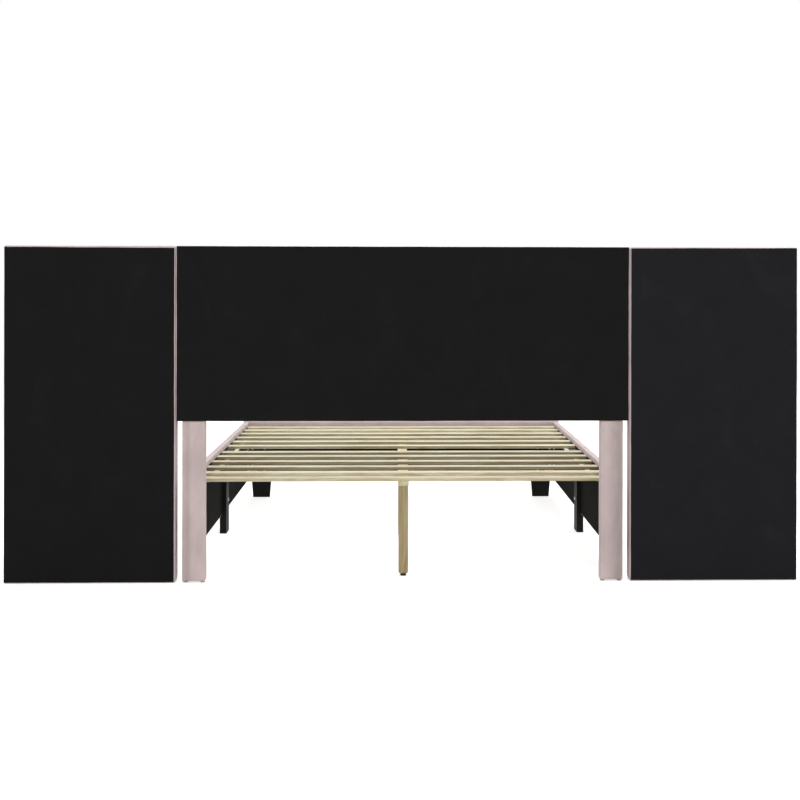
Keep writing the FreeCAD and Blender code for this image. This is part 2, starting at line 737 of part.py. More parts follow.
def build_leveller(name, middle):
    """A round glide on a threaded stem, turned from one profile about its axis."""
    body = doc.addObject("PartDesign::Body", "leveller_body_" + name)
    sketch = body.newObject("Sketcher::SketchObject", "leveller_profile_" + name)
    plane = [item for item in body.Origin.OriginFeatures if item.Role == "XZ_Plane"][0]
    sketch.AttachmentSupport = [(plane, "")]
    sketch.MapMode = "FlatFace"
    outer = length_of("leveller_width / 2")
    high = length_of("leveller_height")
    stem = length_of("leveller_stem / 2")
    top = length_of("leveller_reach")
    points = ((0, 0), (outer, 0), (outer, high), (stem, high), (stem, top), (0, top))
    count = len(points)
    for index in range(count):
        start = FreeCAD.Vector(points[index][0], points[index][1], 0)
        end = FreeCAD.Vector(points[(index + 1) % count][0], points[(index + 1) % count][1], 0)
        sketch.addGeometry(Part.LineSegment(start, end))
    for index in range(count):
        sketch.addConstraint(Sketcher.Constraint("Coincident", index, 2, (index + 1) % count, 1))
        kind = "Horizontal" if index % 2 == 0 else "Vertical"
        sketch.addConstraint(Sketcher.Constraint(kind, index))
    sketch.addConstraint(Sketcher.Constraint("Coincident", 0, 1, -1, 1))
    named = (
        ((0, 1, 0, 2, outer), "DistanceX", "leveller_width / 2", "disc"),
        ((1, 1, 1, 2, high), "DistanceY", "leveller_height", "height"),
        ((-1, 1, 3, 2, stem), "DistanceX", "leveller_stem / 2", "stem"),
        ((-1, 1, 4, 1, top), "DistanceY", "leveller_reach", "reach"),
    )
    for values, kind, text, label in named:
        index = sketch.addConstraint(Sketcher.Constraint(kind, *values))
        sketch.renameConstraint(index, label)
        bind(sketch, "Constraints." + label, text)
    doc.recompute()
    turned = body.newObject("PartDesign::Revolution", "leveller_turned_" + name)
    turned.Profile = sketch
    turned.ReferenceAxis = (sketch, ["V_Axis"])
    turned.Angle = 360
    place(body, ("0", middle, "0"))
    node("leveller_" + name, body)


def build_hanger():
    """A folded steel seat for the beam's foot end."""
    thin = "hanger_thickness"
    half = "(beam_width / 2 + beam_foot_gap)"
    face = ("foot_lining_inner - " + thin, "foot_lining_inner")
    low = "beam_base - " + thin
    plate = block("hanger_plate", ("-%s - hanger_wing" % half, "%s + hanger_wing" % half), face,
                  (low + " - hanger_height + beam_thickness", "slat_base"))
    deep = ("foot_lining_inner - hanger_reach", "foot_lining_inner")
    shelf = block("hanger_shelf", ("-%s - %s" % (half, thin), "%s + %s" % (half, thin)), deep,
                  (low, "beam_base"))
    cheeks = []
    for side_name, side in SIDES:
        cheeks.append(block("hanger_cheek_" + side_name, mirrored((half, "%s + %s" % (half, thin)), side),
                            deep, (low, "slat_base")))
        seat_x = mirrored(("%s + hanger_wing / 2" % half, "0"), side)[0 if side > 0 else 1]
        seat = (seat_x, face[0], "beam_base + beam_thickness / 2")
        screw(seat, "+Y", "screw_length", ("beam_hanger", "rail_lining_foot", "foot_rail_board"))
    drilled("beam_hanger", fuse("hanger_body", [plate, shelf] + cheeks))


def build_slats():
    """Twelve slats across the rails and the webbing straps under them."""
    for number, share in enumerate(SLAT_SHARES, start=1):
        name = "slat_%02d" % number
        middle = along("deck_head", "deck_length", share)
        board = block(name + "_board", ("-(slat_half)", "slat_half"),
                      (middle + " - slat_width / 2", middle + " + slat_width / 2"),
                      ("slat_base", "slat_top"))
        edges = [("X", "-+", "slat_round"), ("X", "++", "slat_round")]
        node(name, rounded(name + "_rounded", board, edges))
    straps = []
    first = along("deck_head", "deck_length", SLAT_SHARES[0])
    last = along("deck_head", "deck_length", SLAT_SHARES[-1])
    for side_name, side in SIDES:
        across = mirrored(("rail_inner - strap_inset - strap_width / 2",
                           "rail_inner - strap_inset + strap_width / 2"), side)
        straps.append(block("strap_" + side_name, across,
                            (first + " - slat_width / 2", last + " + slat_width / 2"),
                            ("slat_base - strap_thickness", "slat_base")))
    node("slat_straps", group("slat_straps_group", straps))


def build_side_rail(side_name, side):
    """Board, edge strip, foam, velvet and lining of one side rail."""
    length = ("rail_head_end", "rail_foot_end")
    board = block("side_board_" + side_name, mirrored(("rail_board_inner", "rail_board_outer"), side),
                  length, ("rail_base", "strip_top"))
    drilled("side_rail_board_" + side_name, board)
    strip = block("side_strip_" + side_name,
                  mirrored(("rail_inner + cover_thickness", "rail_board_inner"), side), length,
                  ("strip_base", "strip_top"))
    near, far = ("+", "-") if side > 0 else ("-", "+")
    foam_face = mirrored(("rail_inner + cover_thickness", "foam_outer - soft_clearance"), side)
    foam = block("side_foam_block_" + side_name, foam_face, length,
                 ("rail_base", "rail_top - cover_thickness - soft_clearance"))
    foam = rounded("side_foam_round_" + side_name, foam,
                   [("Y", near + "+", "rail_outer_round - cover_thickness"),
                    ("Y", far + "+", "rail_inner_round - cover_thickness")])
    foam_hollow = block("side_foam_hollow_" + side_name,
                        mirrored(("rail_inner - overrun", "rail_board_outer"), side),
                        ("rail_head_end - overrun", "rail_foot_end + overrun"),
                        ("rail_base - overrun", "strip_top"))
    foam = cut("side_foam_" + side_name, foam, [foam_hollow])
    outer = block("side_cover_block_" + side_name, mirrored(("rail_inner", "rail_outer"), side), length,
                  ("rail_bottom", "rail_top"))
    outer = rounded("side_cover_round_" + side_name, outer,
                    [("Y", near + "+", "rail_outer_round"), ("Y", far + "+", "rail_inner_round")])
    run = ("rail_head_end - overrun", "rail_foot_end + overrun")
    band = block("side_cover_band_" + side_name,
                 mirrored(("rail_inner + cover_thickness", "foam_outer"), side), run,
                 ("strip_base", "rail_top - cover_thickness"))
    band = rounded("side_cover_band_round_" + side_name, band,
                   [("Y", near + "+", "rail_outer_round - cover_thickness"),
                    ("Y", far + "+", "rail_inner_round - cover_thickness")])
    cavity = block("side_cover_cavity_" + side_name, mirrored(("rail_board_inner", "foam_outer"), side),
                   run, ("rail_base", "strip_top"))
    window = block("side_cover_window_" + side_name,
                   mirrored(("rail_inner - overrun", "rail_board_inner"), side), run,
                   ("rail_bottom - overrun", "band_base"))
    space = fuse("side_cover_space_" + side_name, [band, cavity, window])
    node("side_rail_cover_" + side_name, cut("side_cover_" + side_name, outer, [space]))
    lining = block("side_lining_" + side_name, mirrored(("lining_inner", "rail_board_inner"), side), length,
                   ("rail_bottom", "band_base"))
    lining = cut("lining_" + side_name, lining, holes["rail_lining_" + side_name])
    return strip, foam, lining


def build_foot_rail():
    """Board, edge strips, foam, velvet and lining of the foot rail."""
    ends = ("-(foam_outer - soft_clearance)", "foam_outer - soft_clearance")
    deep = ("foot_board_inner", "foot_board_outer")
    drilled("foot_rail_board", block("foot_board", ends, deep, ("rail_base", "strip_top")))
    strip_deep = ("foot_inner + cover_thickness", "foot_board_inner")
    strips = [block("foot_strip", ends, strip_deep, ("strip_base", "strip_top"))]
    for side_name, side in SIDES:
        outer_end = "foam_outer - soft_clearance"
        end_strip = block("foot_end_" + side_name,
                          mirrored((outer_end + " - end_strip_width", outer_end), side), strip_deep,
                          ("rail_base", "strip_base"))
        strips.append(cut("foot_end_strip_" + side_name, end_strip, holes["foot_end_strip_" + side_name]))
    round_outer = "rail_outer_round - cover_thickness"
    round_top = "foot_rail_round - cover_thickness"
    foam = block("foot_foam_block", ends, ("foot_inner + cover_thickness", "foot_face - cover_thickness"
                 " - soft_clearance"), ("rail_base", "foot_top - cover_thickness - soft_clearance"))
    foam = rounded("foot_foam_round", foam,
                   [("X", "++", round_top), ("X", "-+", round_top),
                    ("Z", "++", round_outer), ("Z", "-+", round_outer)])
    hollow = block("foot_foam_hollow", ("-rail_outer - overrun", "rail_outer + overrun"),
                   ("foot_inner - overrun", "foot_board_outer"), ("rail_base - overrun", "strip_top"))
    foam = cut("foot_foam", foam, [hollow])
    cover = block("foot_cover_block", ("-rail_outer", "rail_outer"), ("foot_inner", "foot_face"),
                  ("rail_bottom", "foot_top"))
    cover = rounded("foot_cover_round", cover,
                    [("X", "++", "foot_rail_round"), ("X", "-+", "foot_rail_round"),
                     ("Z", "++", "rail_outer_round"), ("Z", "-+", "rail_outer_round"),
                     ("Y", "++", "rail_outer_round"), ("Y", "-+", "rail_outer_round")])
    inside = ("-foam_outer", "foam_outer")
    band = block("foot_cover_band", inside, ("foot_inner + cover_thickness", "foot_face - cover_thickness"),
                 ("strip_base", "foot_top - cover_thickness"))
    band = rounded("foot_cover_band_round", band,
                   [("X", "++", round_top), ("X", "-+", round_top),
                    ("Z", "++", round_outer), ("Z", "-+", round_outer)])
    cavity = block("foot_cover_cavity", inside, ("foot_board_inner", "foot_face - cover_thickness"),
                   ("rail_base", "strip_base"))
    cavity = rounded("foot_cover_cavity_round", cavity, [("Z", "++", round_outer), ("Z", "-+", round_outer)])
    inner_end = "foam_outer - soft_clearance - end_strip_width"
    spaces = [band, cavity]
    for side_name, side in SIDES:
        spaces.append(block("foot_end_space_" + side_name, mirrored((inner_end, "foam_outer"), side),
                            strip_deep, ("rail_base", "strip_base")))
    window_side = inner_end + " - cover_thickness"
    spaces.append(block("foot_cover_window", ("-(%s)" % window_side, window_side),
                        ("foot_inner - overrun", "foot_board_inner"),
                        ("rail_bottom - overrun", "band_base")))
    tools = [fuse("foot_cover_space", spaces)] + holes["foot_rail_cover"]
    node("foot_rail_cover", cut("foot_cover", cover, tools))
    lining = block("foot_lining", ("-(%s)" % window_side, window_side),
                   ("foot_lining_inner", "foot_board_inner"), ("rail_bottom", "band_base"))
    lining = cut("lining_foot", lining, holes["rail_lining_foot"])
    return strips, foam, lining


def build_rails():
    """The three upholstered rails; their strips, foams and linings are gathered by kind."""
    strips, foam, lining = build_foot_rail()
    foams = [foam]
    linings = [lining]
    for side_name, side in SIDES:
        strip, foam, lining = build_side_rail(side_name, side)
        strips.append(strip)
        foams.append(foam)
        linings.append(lining)
    node("rail_edge_strips", group("rail_edge_strips_group", strips))
    node("rail_foam", group("rail_foam_group", foams))
    node("rail_linings", group("rail_linings_group", linings))


def build_posts():
    """Timber posts that run from the glides to the head rail, with velvet sleeves below the panel."""
    glides = []
    for side_name, side in SIDES:
        outer = "post_centre + post_width / 2"
        inner = "post_centre - post_width / 2"
        core = timber("post_core_" + side_name,
                      mirrored((inner + " + cover_thickness", outer + " - cover_thickness"), side),
                      ("post_base", CENTRE_HIGH + " - frame_timber"))
        sleeve_top = "centre_panel_bottom - soft_clearance"
        sleeve = block("sleeve_outer_" + side_name, mirrored((inner, outer), side),
                       ("flap_back", "post_front"), ("post_glide_height", sleeve_top))
        room = timber("sleeve_room_" + side_name,
                      mirrored((inner + " + cover_thickness", outer + " - cover_thickness"), side),
                      ("post_base", sleeve_top + " + overrun"))
        passage = block("post_passage_" + side_name, mirrored((inner, outer), side),
                        ("frame_back", "frame_front"),
                        ("centre_panel_bottom - overrun", "centre_panel_bottom + cover_thickness"))
        drill("headboard_cover", passage)
        drilled("post_" + side_name, core)
        tools = [room] + holes["post_sleeve_" + side_name]
        node("post_sleeve_" + side_name, cut("sleeve_" + side_name, sleeve, tools))
        for number, place_across in enumerate((inner + " + post_glide_inset", outer + " - post_glide_inset")):
            centre = mirrored((place_across, place_across), side)[0]
            glides.append(disc("post_glide_%s_%d" % (side_name, number), (centre, "frame_middle", "0"),
                               "+Z", "post_glide_width", "post_glide_height"))
    node("post_glides", group("post_glides_group", glides))


def build_centre_panel():
    """Frame, face board, foam, velvet and back cover between the wings."""
    inner_post = "post_centre - post_width / 2 + cover_thickness"
    members = []
    for side_name, side in SIDES:
        members.append(timber("centre_stile_" + side_name, mirrored(("stile_inner", "stile_outer"), side),
                              (CENTRE_LOW, CENTRE_HIGH)))
    low_rail = CENTRE_LOW + " + frame_timber"
    high_rail = CENTRE_HIGH + " - frame_timber"
    members.append(timber("centre_top_rail", ("-(stile_inner)", "stile_inner"), (high_rail, CENTRE_HIGH)))
    members.append(timber("centre_low_rail", ("-(%s)" % inner_post, inner_post), (CENTRE_LOW, low_rail)))
    for number, share in enumerate(UPRIGHT_SHARES):
        middle = "centre_panel_width * %.6f" % share
        members.append(timber("centre_upright_%d" % number,
                              (middle + " - frame_timber / 2", middle + " + frame_timber / 2"),
                              (low_rail, high_rail)))
    drilled("headboard_frame", group("headboard_members", members))
    panel = ("0", CENTRE_RISE, CENTRE_HALF, CENTRE_TALL)
    padded = panel + (CENTRE_TALL,)
    node("headboard_face_board",
         block("centre_board", ("-(stile_outer)", "stile_outer"), ("frame_front", "board_front"),
               (CENTRE_LOW, CENTRE_HIGH)))
    node("headboard_foam", foam_pad("centre_foam", *padded))
    drilled("headboard_cover", panel_cover("centre_cover", *padded))
    node("headboard_back_cover", panel_backing("centre_backing", *panel))


def build_wings():
    """The two side panels that stand on the floor."""
    boards = []
    for side_name, side in SIDES:
        inner = "wing_inner + cover_thickness"
        outer = "wing_outer - cover_thickness"
        low = "cover_thickness"
        high = CENTRE_HIGH
        tag = "wing_" + side_name
        members = [
            timber(tag + "_inner_stile", mirrored((inner, inner + " + frame_timber"), side), (low, high)),
            timber(tag + "_outer_stile", mirrored((outer + " - frame_timber", outer), side), (low, high)),
        ]
        across = mirrored((inner + " + frame_timber", outer + " - frame_timber"), side)
        middle = along(low, "overall_height", WING_RAIL_SHARE)
        rises = (
            ("low", (low, low + " + frame_timber")),
            ("middle", (middle + " - frame_timber / 2", middle + " + frame_timber / 2")),
            ("top", (high + " - frame_timber", high)),
        )
        for label, rise in rises:
            members.append(timber(tag + "_%s_rail" % label, across, rise))
        drilled("wing_frame_" + side_name, group(tag + "_members", members))
        boards.append(block(tag + "_board", mirrored((inner, outer), side), ("frame_front", "board_front"),
                            (low, high)))
        centre = mirrored(("(wing_inner + wing_outer) / 2", "(wing_inner + wing_outer) / 2"), side)[0]
        half_wide = "(wing_outer - (wing_inner)) / 2"
        panel = (centre, "overall_height / 2", half_wide, "overall_height / 2")
        padded = panel + (half_wide,)
        node("wing_foam_" + side_name, foam_pad(tag + "_foam", *padded))
        drilled("wing_cover_" + side_name, panel_cover(tag + "_cover", *padded))
        node("wing_back_cover_" + side_name, panel_backing(tag + "_backing", *panel))
    node("wing_face_boards", group("wing_face_boards_group", boards))


build_seam_plates()
build_brackets()
build_legs()
build_ledgers()
build_beam()
build_slats()
build_rails()
build_posts()
build_centre_panel()
build_wings()
node("frame_bolts", group("frame_bolts_group", bolts))
node("tee_nuts", group("tee_nuts_group", tee_nuts))
node("wood_screws", group("wood_screws_group", screws))
doc.recompute()

# Every object has to be sound before anything is written

faults = [item.Name for item in doc.Objects if {"Invalid", "Error"} & set(item.State)]
for label, item in nodes.items():
    if item.Shape.isNull() or not item.Shape.isValid():
        faults.append(label)
if faults:
    raise SystemExit("not sound: " + ", ".join(faults))

os.makedirs("parts", exist_ok=True)
for label, item in sorted(nodes.items()):
    item.Shape.exportStep(os.path.join("parts", label + ".step"))
print("%d nodes written" % len(nodes))
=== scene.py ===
import bpy
import bmesh
import math
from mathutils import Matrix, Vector, noise


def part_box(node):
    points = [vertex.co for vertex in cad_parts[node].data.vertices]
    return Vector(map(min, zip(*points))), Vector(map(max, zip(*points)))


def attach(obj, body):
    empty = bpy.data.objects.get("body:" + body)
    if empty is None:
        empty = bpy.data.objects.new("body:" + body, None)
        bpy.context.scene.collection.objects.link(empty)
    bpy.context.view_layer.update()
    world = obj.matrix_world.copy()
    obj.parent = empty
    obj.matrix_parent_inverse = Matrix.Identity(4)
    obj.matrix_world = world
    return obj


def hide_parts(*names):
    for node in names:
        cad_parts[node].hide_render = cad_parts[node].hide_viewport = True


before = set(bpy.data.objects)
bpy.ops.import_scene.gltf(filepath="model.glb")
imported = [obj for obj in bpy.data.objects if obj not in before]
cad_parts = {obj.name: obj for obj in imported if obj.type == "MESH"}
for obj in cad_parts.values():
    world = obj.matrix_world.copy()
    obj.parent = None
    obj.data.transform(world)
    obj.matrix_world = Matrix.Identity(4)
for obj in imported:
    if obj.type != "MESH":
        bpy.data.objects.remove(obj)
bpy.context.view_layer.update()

# Colours are written as seen, on a scale of 0 to 255


def seen(red, green, blue):
    """A linear colour from the values that a picture shows."""
    def linear(value):
        share = value / 255
        return share / 12.92 if share <= 0.04045 else ((share + 0.055) / 1.055) ** 2.4
    return (linear(red), linear(green), linear(blue), 1.0)


# Material building

class Nodes:
    """A short way to build one material's node tree."""

    def __init__(self, name):
        self.material = bpy.data.materials.new(name)
        self.material.use_nodes = True
        self.tree = self.material.node_tree
        self.tree.nodes.clear()
        self.output = self.tree.nodes.new("ShaderNodeOutputMaterial")
        self.shader = self.tree.nodes.new("ShaderNodeBsdfPrincipled")
        self.link(self.shader.outputs["BSDF"], self.output.inputs["Surface"])
        self.coords = self.tree.nodes.new("ShaderNodeTexCoord").outputs["Object"]

    def link(self, source, target):
        self.tree.links.new(source, target)

    def node(self, kind, inputs=(), **settings):
        item = self.tree.nodes.new(kind)
        for key, value in settings.items():
            setattr(item, key, value)
        for key, value in dict(inputs).items():
            if hasattr(value, "is_output"):
                self.link(value, item.inputs[key])
            else:
                item.inputs[key].default_value = value
        return item

    def scaled(self, scale):
        mapping = self.node("ShaderNodeMapping", {"Vector": self.coords})
        mapping.inputs["Scale"].default_value = scale
        return mapping.outputs["Vector"]

    def noise(self, scale, detail, rough, vector=None, distortion=0.0):
        item = self.node("ShaderNodeTexNoise", {
            "Vector": vector or self.coords, "Scale": scale, "Detail": detail,
            "Roughness": rough, "Distortion": distortion})
        return item.outputs["Fac"]

    def cells(self, scale, output="Distance", vector=None):
        inputs = {"Vector": vector or self.coords, "Scale": scale}
        item = self.node("ShaderNodeTexVoronoi", inputs, feature="F1")
        return item.outputs[output]

    def ramp(self, value, stops):
        item = self.node("ShaderNodeValToRGB", {"Fac": value})
        points = item.color_ramp.elements
        while len(points) < len(stops):
            points.new(0.5)
        for point, (position, colour) in zip(points, stops):
            point.position = position
            point.color = colour
        return item.outputs["Color"]

    def mix(self, factor, first, second, blend="MIX"):
        item = self.node("ShaderNodeMix", data_type="RGBA", blend_type=blend)
        colour_inputs = [s for s in item.inputs if s.type == "RGBA"]
        factor_input = [s for s in item.inputs if s.type == "VALUE"][0]
        for socket, value in zip([factor_input] + colour_inputs, (factor, first, second)):
            if hasattr(value, "is_output"):
                self.link(value, socket)
            else:
                socket.default_value = value
        return [s for s in item.outputs if s.type == "RGBA"][0]

    def darken(self, colour, layer, factor=1.0):
        return self.mix(factor, colour, layer, "MULTIPLY")

    def math(self, operation, first, second=0.0):
        item = self.node("ShaderNodeMath", operation=operation)
        for index, value in enumerate((first, second)):
            if hasattr(value, "is_output"):
                self.link(value, item.inputs[index])
            else:
                item.inputs[index].default_value = value
        return item.outputs[0]

    def bump(self, height, strength, distance, below=None):
        inputs = {"Height": height, "Strength": strength, "Distance": distance}
        item = self.node("ShaderNodeBump", inputs)
        if below is not None:
            self.link(below, item.inputs["Normal"])
        return item.outputs["Normal"]

    def finish(self, colour, roughness, normal=None, **sockets):
        for key, value in (("Base Color", colour), ("Roughness", roughness), ("Normal", normal)):
            if value is None:
                continue
            if hasattr(value, "is_output"):
                self.link(value, self.shader.inputs[key])
            else:
                self.shader.inputs[key].default_value = value
        for key, value in sockets.items():
            self.shader.inputs[key.replace("_", " ")].default_value = value
        return self.material


def varied(colour, factor):
    """A colour made lighter or darker."""
    return tuple(channel * factor for channel in colour[:3]) + (1.0,)


def grey(value):
    return (value, value, value, 1.0)


LANE_CORE = 0.003
LANE_SCALE = 20.0


def velvet_material(name, base, shaded_lane_at=None, lane_shade=0.84, shade_reach=0.017):
    """Short-pile velvet: clouds where the pile lies over, a fine nap, and a lane of painted shade at one
    |x|.
    """
    n = Nodes(name)
    clouds = n.noise(5.0, detail=4.0, rough=0.55, vector=n.scaled((1.0, 1.0, 0.6)), distortion=0.6)
    strokes = n.noise(26.0, detail=3.0, rough=0.6, vector=n.scaled((1.0, 1.0, 0.35)), distortion=0.4)
    nap = n.noise(900.0, detail=2.0, rough=0.6)
    colour = n.ramp(clouds, [(0.30, varied(base, 0.86)), (0.52, base), (0.74, varied(base, 1.09))])
    tint = n.ramp(strokes, [(0.30, grey(0.90)), (0.70, grey(1.06))])
    colour = n.darken(colour, tint, 0.75)
    speckle = n.ramp(nap, [(0.35, grey(0.90)), (0.65, grey(1.07))])
    colour = n.darken(colour, speckle, 0.6)
    # Painted shade: a darker lane at one |x| stands in for the shade along a post's groove and beside a
    # wing.
    if shaded_lane_at:
        across = n.node("ShaderNodeSeparateXYZ", {"Vector": n.coords}).outputs["X"]
        away = n.math("ABSOLUTE", n.math("SUBTRACT", n.math("ABSOLUTE", across), shaded_lane_at))
        # pressed is the colour of the painted shade at the middle of the lane.
        pressed = (lane_shade, lane_shade - 0.01, lane_shade - 0.01, 1)
        stops = [(LANE_SCALE * LANE_CORE, pressed), (LANE_SCALE * shade_reach, grey(1))]
        painted_shade_lane = n.ramp(n.math("MULTIPLY", away, LANE_SCALE), stops)
        colour = n.darken(colour, painted_shade_lane, 1.0)
    roughness = n.ramp(clouds, [(0.3, grey(0.72)), (0.7, grey(0.86))])
    brushed = n.bump(strokes, strength=0.12, distance=0.002)
    normal = n.bump(nap, strength=0.22, distance=0.0006, below=brushed)
    material = n.finish(colour, roughness, normal, Sheen_Weight=0.30, Sheen_Roughness=0.40)
    n.shader.inputs["Sheen Tint"].default_value = seen(235, 222, 221)
    return material


def nonwoven_material(name, base):
    """Black spunbond cover: matt, with a fine grid of bonded points and stray fibres."""
    n = Nodes(name)
    points = n.cells(420.0)
    fibres = n.noise(260.0, detail=4.0, rough=0.65, vector=n.scaled((1.0, 1.0, 0.45)), distortion=1.2)
    clouds = n.noise(9.0, detail=3.0, rough=0.5)
    colour = n.ramp(fibres, [(0.35, varied(base, 0.85)), (0.62, base), (0.80, varied(base, 1.25))])
    shade = n.ramp(clouds, [(0.3, grey(0.94)), (0.7, grey(1.04))])
    colour = n.darken(colour, shade, 1.0)
    rubbed = n.noise(5.5, detail=5.0, rough=0.62, vector=n.scaled((1.0, 1.0, 0.75)), distortion=0.8)
    rubs = n.ramp(rubbed, [(0.56, grey(1)), (0.72, grey(1.16))])
    colour = n.darken(colour, rubs, 1.0)
    laid = n.bump(fibres, strength=0.18, distance=0.0005)
    normal = n.bump(points, strength=0.25, distance=0.0004, below=laid)
    return n.finish(colour, 0.95, normal, Specular_IOR_Level=0.06)


def drawn_out(along, share):
    """A texture's scale that draws it out along one axis."""
    return tuple(share if axis == along else 1.0 for axis in "XYZ")


def wood_material(name, tones, along, knots=0.0, edge_shade=1.0):
    """Softwood with grain along one axis, soft growth bands, a few knots and painted shade on faces that
    face along Y.
    """
    n = Nodes(name)
    pale, dark = tones
    stretch, slow = drawn_out(along, 0.035), drawn_out(along, 0.10)
    fine = n.noise(420.0, detail=4.0, rough=0.65, vector=n.scaled(stretch), distortion=0.3)
    bands = n.noise(38.0, detail=3.0, rough=0.5, vector=n.scaled(slow), distortion=1.6)
    patches = n.noise(3.2, detail=2.0, rough=0.5)
    middle = tuple((a + b) / 2 for a, b in zip(pale, dark))
    colour = n.ramp(bands, [(0.32, dark), (0.47, middle), (0.60, pale)])
    lines = n.ramp(fine, [(0.34, (0.80, 0.76, 0.68, 1)), (0.58, grey(1.0))])
    colour = n.darken(colour, lines, 0.65)
    tone = n.ramp(patches, [(0.3, (0.90, 0.88, 0.84, 1)), (0.7, (1.05, 1.04, 1.02, 1))])
    colour = n.darken(colour, tone, 1.0)
    if knots:
        spots = n.cells(11.0, vector=n.scaled(slow))
        knot = n.ramp(spots, [(0.0, grey(1)), (0.055, grey(0.6)), (0.075, grey(0))])
        colour = n.mix(n.math("MULTIPLY", knot, knots), colour, seen(126, 88, 50))
    # Painted shade: faces whose normal points along Y (the slats' edges) are darkened to this factor.
    if edge_shade < 1:
        normals = n.node("ShaderNodeNewGeometry").outputs["Normal"]
        facing = n.math("ABSOLUTE", n.node("ShaderNodeSeparateXYZ", {"Vector": normals}).outputs["Y"])
        edge = n.ramp(facing, [(0.3, grey(1)), (0.8, (edge_shade, edge_shade, edge_shade * 0.93, 1))])
        colour = n.darken(colour, edge, 1.0)
    growth = n.bump(bands, strength=0.08, distance=0.0008)
    normal = n.bump(fine, strength=0.25, distance=0.0004, below=growth)
    return n.finish(colour, 0.62, normal, Specular_IOR_Level=0.3)


def board_material():
    """Plywood and chipboard faces: a broad rotary-cut figure with a dull surface."""
    n = Nodes("plywood")
    figure = n.noise(6.0, detail=4.0, rough=0.5, vector=n.scaled((1.0, 1.0, 0.12)), distortion=2.2)
    fibre = n.noise(300.0, detail=3.0, rough=0.6, vector=n.scaled((1.0, 1.0, 0.06)))
    stops = [(0.35, seen(172, 136, 92)), (0.5, seen(196, 162, 116)), (0.65, seen(212, 182, 138))]
    colour = n.ramp(figure, stops)
    lines = n.ramp(fibre, [(0.3, (0.85, 0.83, 0.8, 1)), (0.6, grey(1))])
    return n.finish(n.darken(colour, lines, 0.7), 0.7, n.bump(fibre, strength=0.2, distance=0.0004))


def foam_material():
    n = Nodes("upholstery_foam")
    cells = n.cells(700.0)
    clouds = n.noise(14.0, detail=3.0, rough=0.5)
    colour = n.ramp(clouds, [(0.3, seen(226, 214, 176)), (0.7, seen(240, 232, 200))])
    return n.finish(colour, 0.95, n.bump(cells, strength=0.5, distance=0.0006))


def lacquer_material():
    """Black lacquered wood: the grain still telegraphs, and edges are rubbed a little grey."""
    n = Nodes("black_lacquer")
    grain = n.noise(300.0, detail=4.0, rough=0.6, vector=n.scaled((1.0, 1.0, 0.05)), distortion=0.4)
    clouds = n.noise(18.0, detail=3.0, rough=0.5)
    worn = n.node("ShaderNodeNewGeometry").outputs["Pointiness"]
    colour = n.ramp(grain, [(0.35, seen(8, 8, 8)), (0.65, seen(15, 15, 15))])
    colour = n.mix(n.ramp(worn, [(0.53, grey(0)), (0.60, grey(0.5))]), colour, seen(48, 47, 46))
    roughness = n.ramp(clouds, [(0.3, grey(0.46)), (0.7, grey(0.58))])
    normal = n.bump(grain, strength=0.12, distance=0.0004)
    return n.finish(colour, roughness, normal, Specular_IOR_Level=0.04)


def plastic_material():
    n = Nodes("moulded_black_plastic")
    grain = n.noise(1500.0, detail=2.0, rough=0.5)
    scuffs = n.noise(40.0, detail=4.0, rough=0.7)
    roughness = n.ramp(scuffs, [(0.35, grey(0.40)), (0.7, grey(0.58))])
    colour = n.ramp(scuffs, [(0.4, seen(20, 20, 21)), (0.75, seen(34, 34, 35))])
    normal = n.bump(grain, strength=0.2, distance=0.0002)
    return n.finish(colour, roughness, normal, Specular_IOR_Level=0.2)


def nylon_material():
    """Pale nail-on glides: milky nylon with a little dust."""
    n = Nodes("milky_nylon")
    dust = n.noise(60.0, detail=4.0, rough=0.6)
    colour = n.ramp(dust, [(0.35, seen(186, 172, 170)), (0.7, seen(206, 194, 192))])
    return n.finish(colour, 0.5, n.bump(dust, strength=0.15, distance=0.0002), Specular_IOR_Level=0.25)


def powder_material():
    """Black powder coat on the angles: fine orange-peel."""
    n = Nodes("black_powder_coat")
    peel = n.noise(520.0, detail=3.0, rough=0.5)
    dust = n.noise(22.0, detail=4.0, rough=0.6)
    colour = n.ramp(dust, [(0.35, seen(22, 22, 22)), (0.75, seen(32, 32, 32))])
    return n.finish(colour, 0.55, n.bump(peel, strength=0.3, distance=0.0003), Specular_IOR_Level=0.15)


def zinc_material():
    """Zinc-plated steel: pale grey with faint rolling lines and spangle."""
    n = Nodes("zinc_plate")
    lines = n.noise(260.0, detail=3.0, rough=0.6, vector=n.scaled((1.0, 1.0, 0.04)))
    spangle = n.cells(130.0, "Color")
    tone = n.ramp(spangle, [(0.2, seen(196, 198, 200)), (0.8, seen(216, 217, 218))])
    roughness = n.ramp(lines, [(0.3, grey(0.28)), (0.7, grey(0.44))])
    return n.finish(tone, roughness, n.bump(lines, strength=0.08, distance=0.0003), Metallic=1.0)


def webbing_material():
    """Pale woven webbing: a close plain weave."""
    n = Nodes("pale_webbing")
    weave = n.node("ShaderNodeTexWave", {"Vector": n.coords, "Scale": 160.0, "Distortion": 0.4},
                   wave_type="BANDS", bands_direction="Y").outputs["Fac"]
    weft = n.node("ShaderNodeTexWave", {"Vector": n.coords, "Scale": 120.0, "Distortion": 0.4},
                  wave_type="BANDS", bands_direction="X").outputs["Fac"]
    cloth = n.math("MULTIPLY", weave, weft)
    colour = n.ramp(cloth, [(0.05, seen(196, 190, 168)), (0.5, seen(232, 227, 208))])
    return n.finish(colour, 0.88, n.bump(cloth, strength=0.5, distance=0.0005))


# Mesh building

def rise(value, start, end):
    """A smooth step from 0 at start to 1 at end."""
    share = min(1.0, max(0.0, (value - start) / (end - start)))
    return share * share * (3 - 2 * share)


def span(start, end, step):
    count = max(1, round((end - start) / step))
    return [start + (end - start) * index / count for index in range(count + 1)]


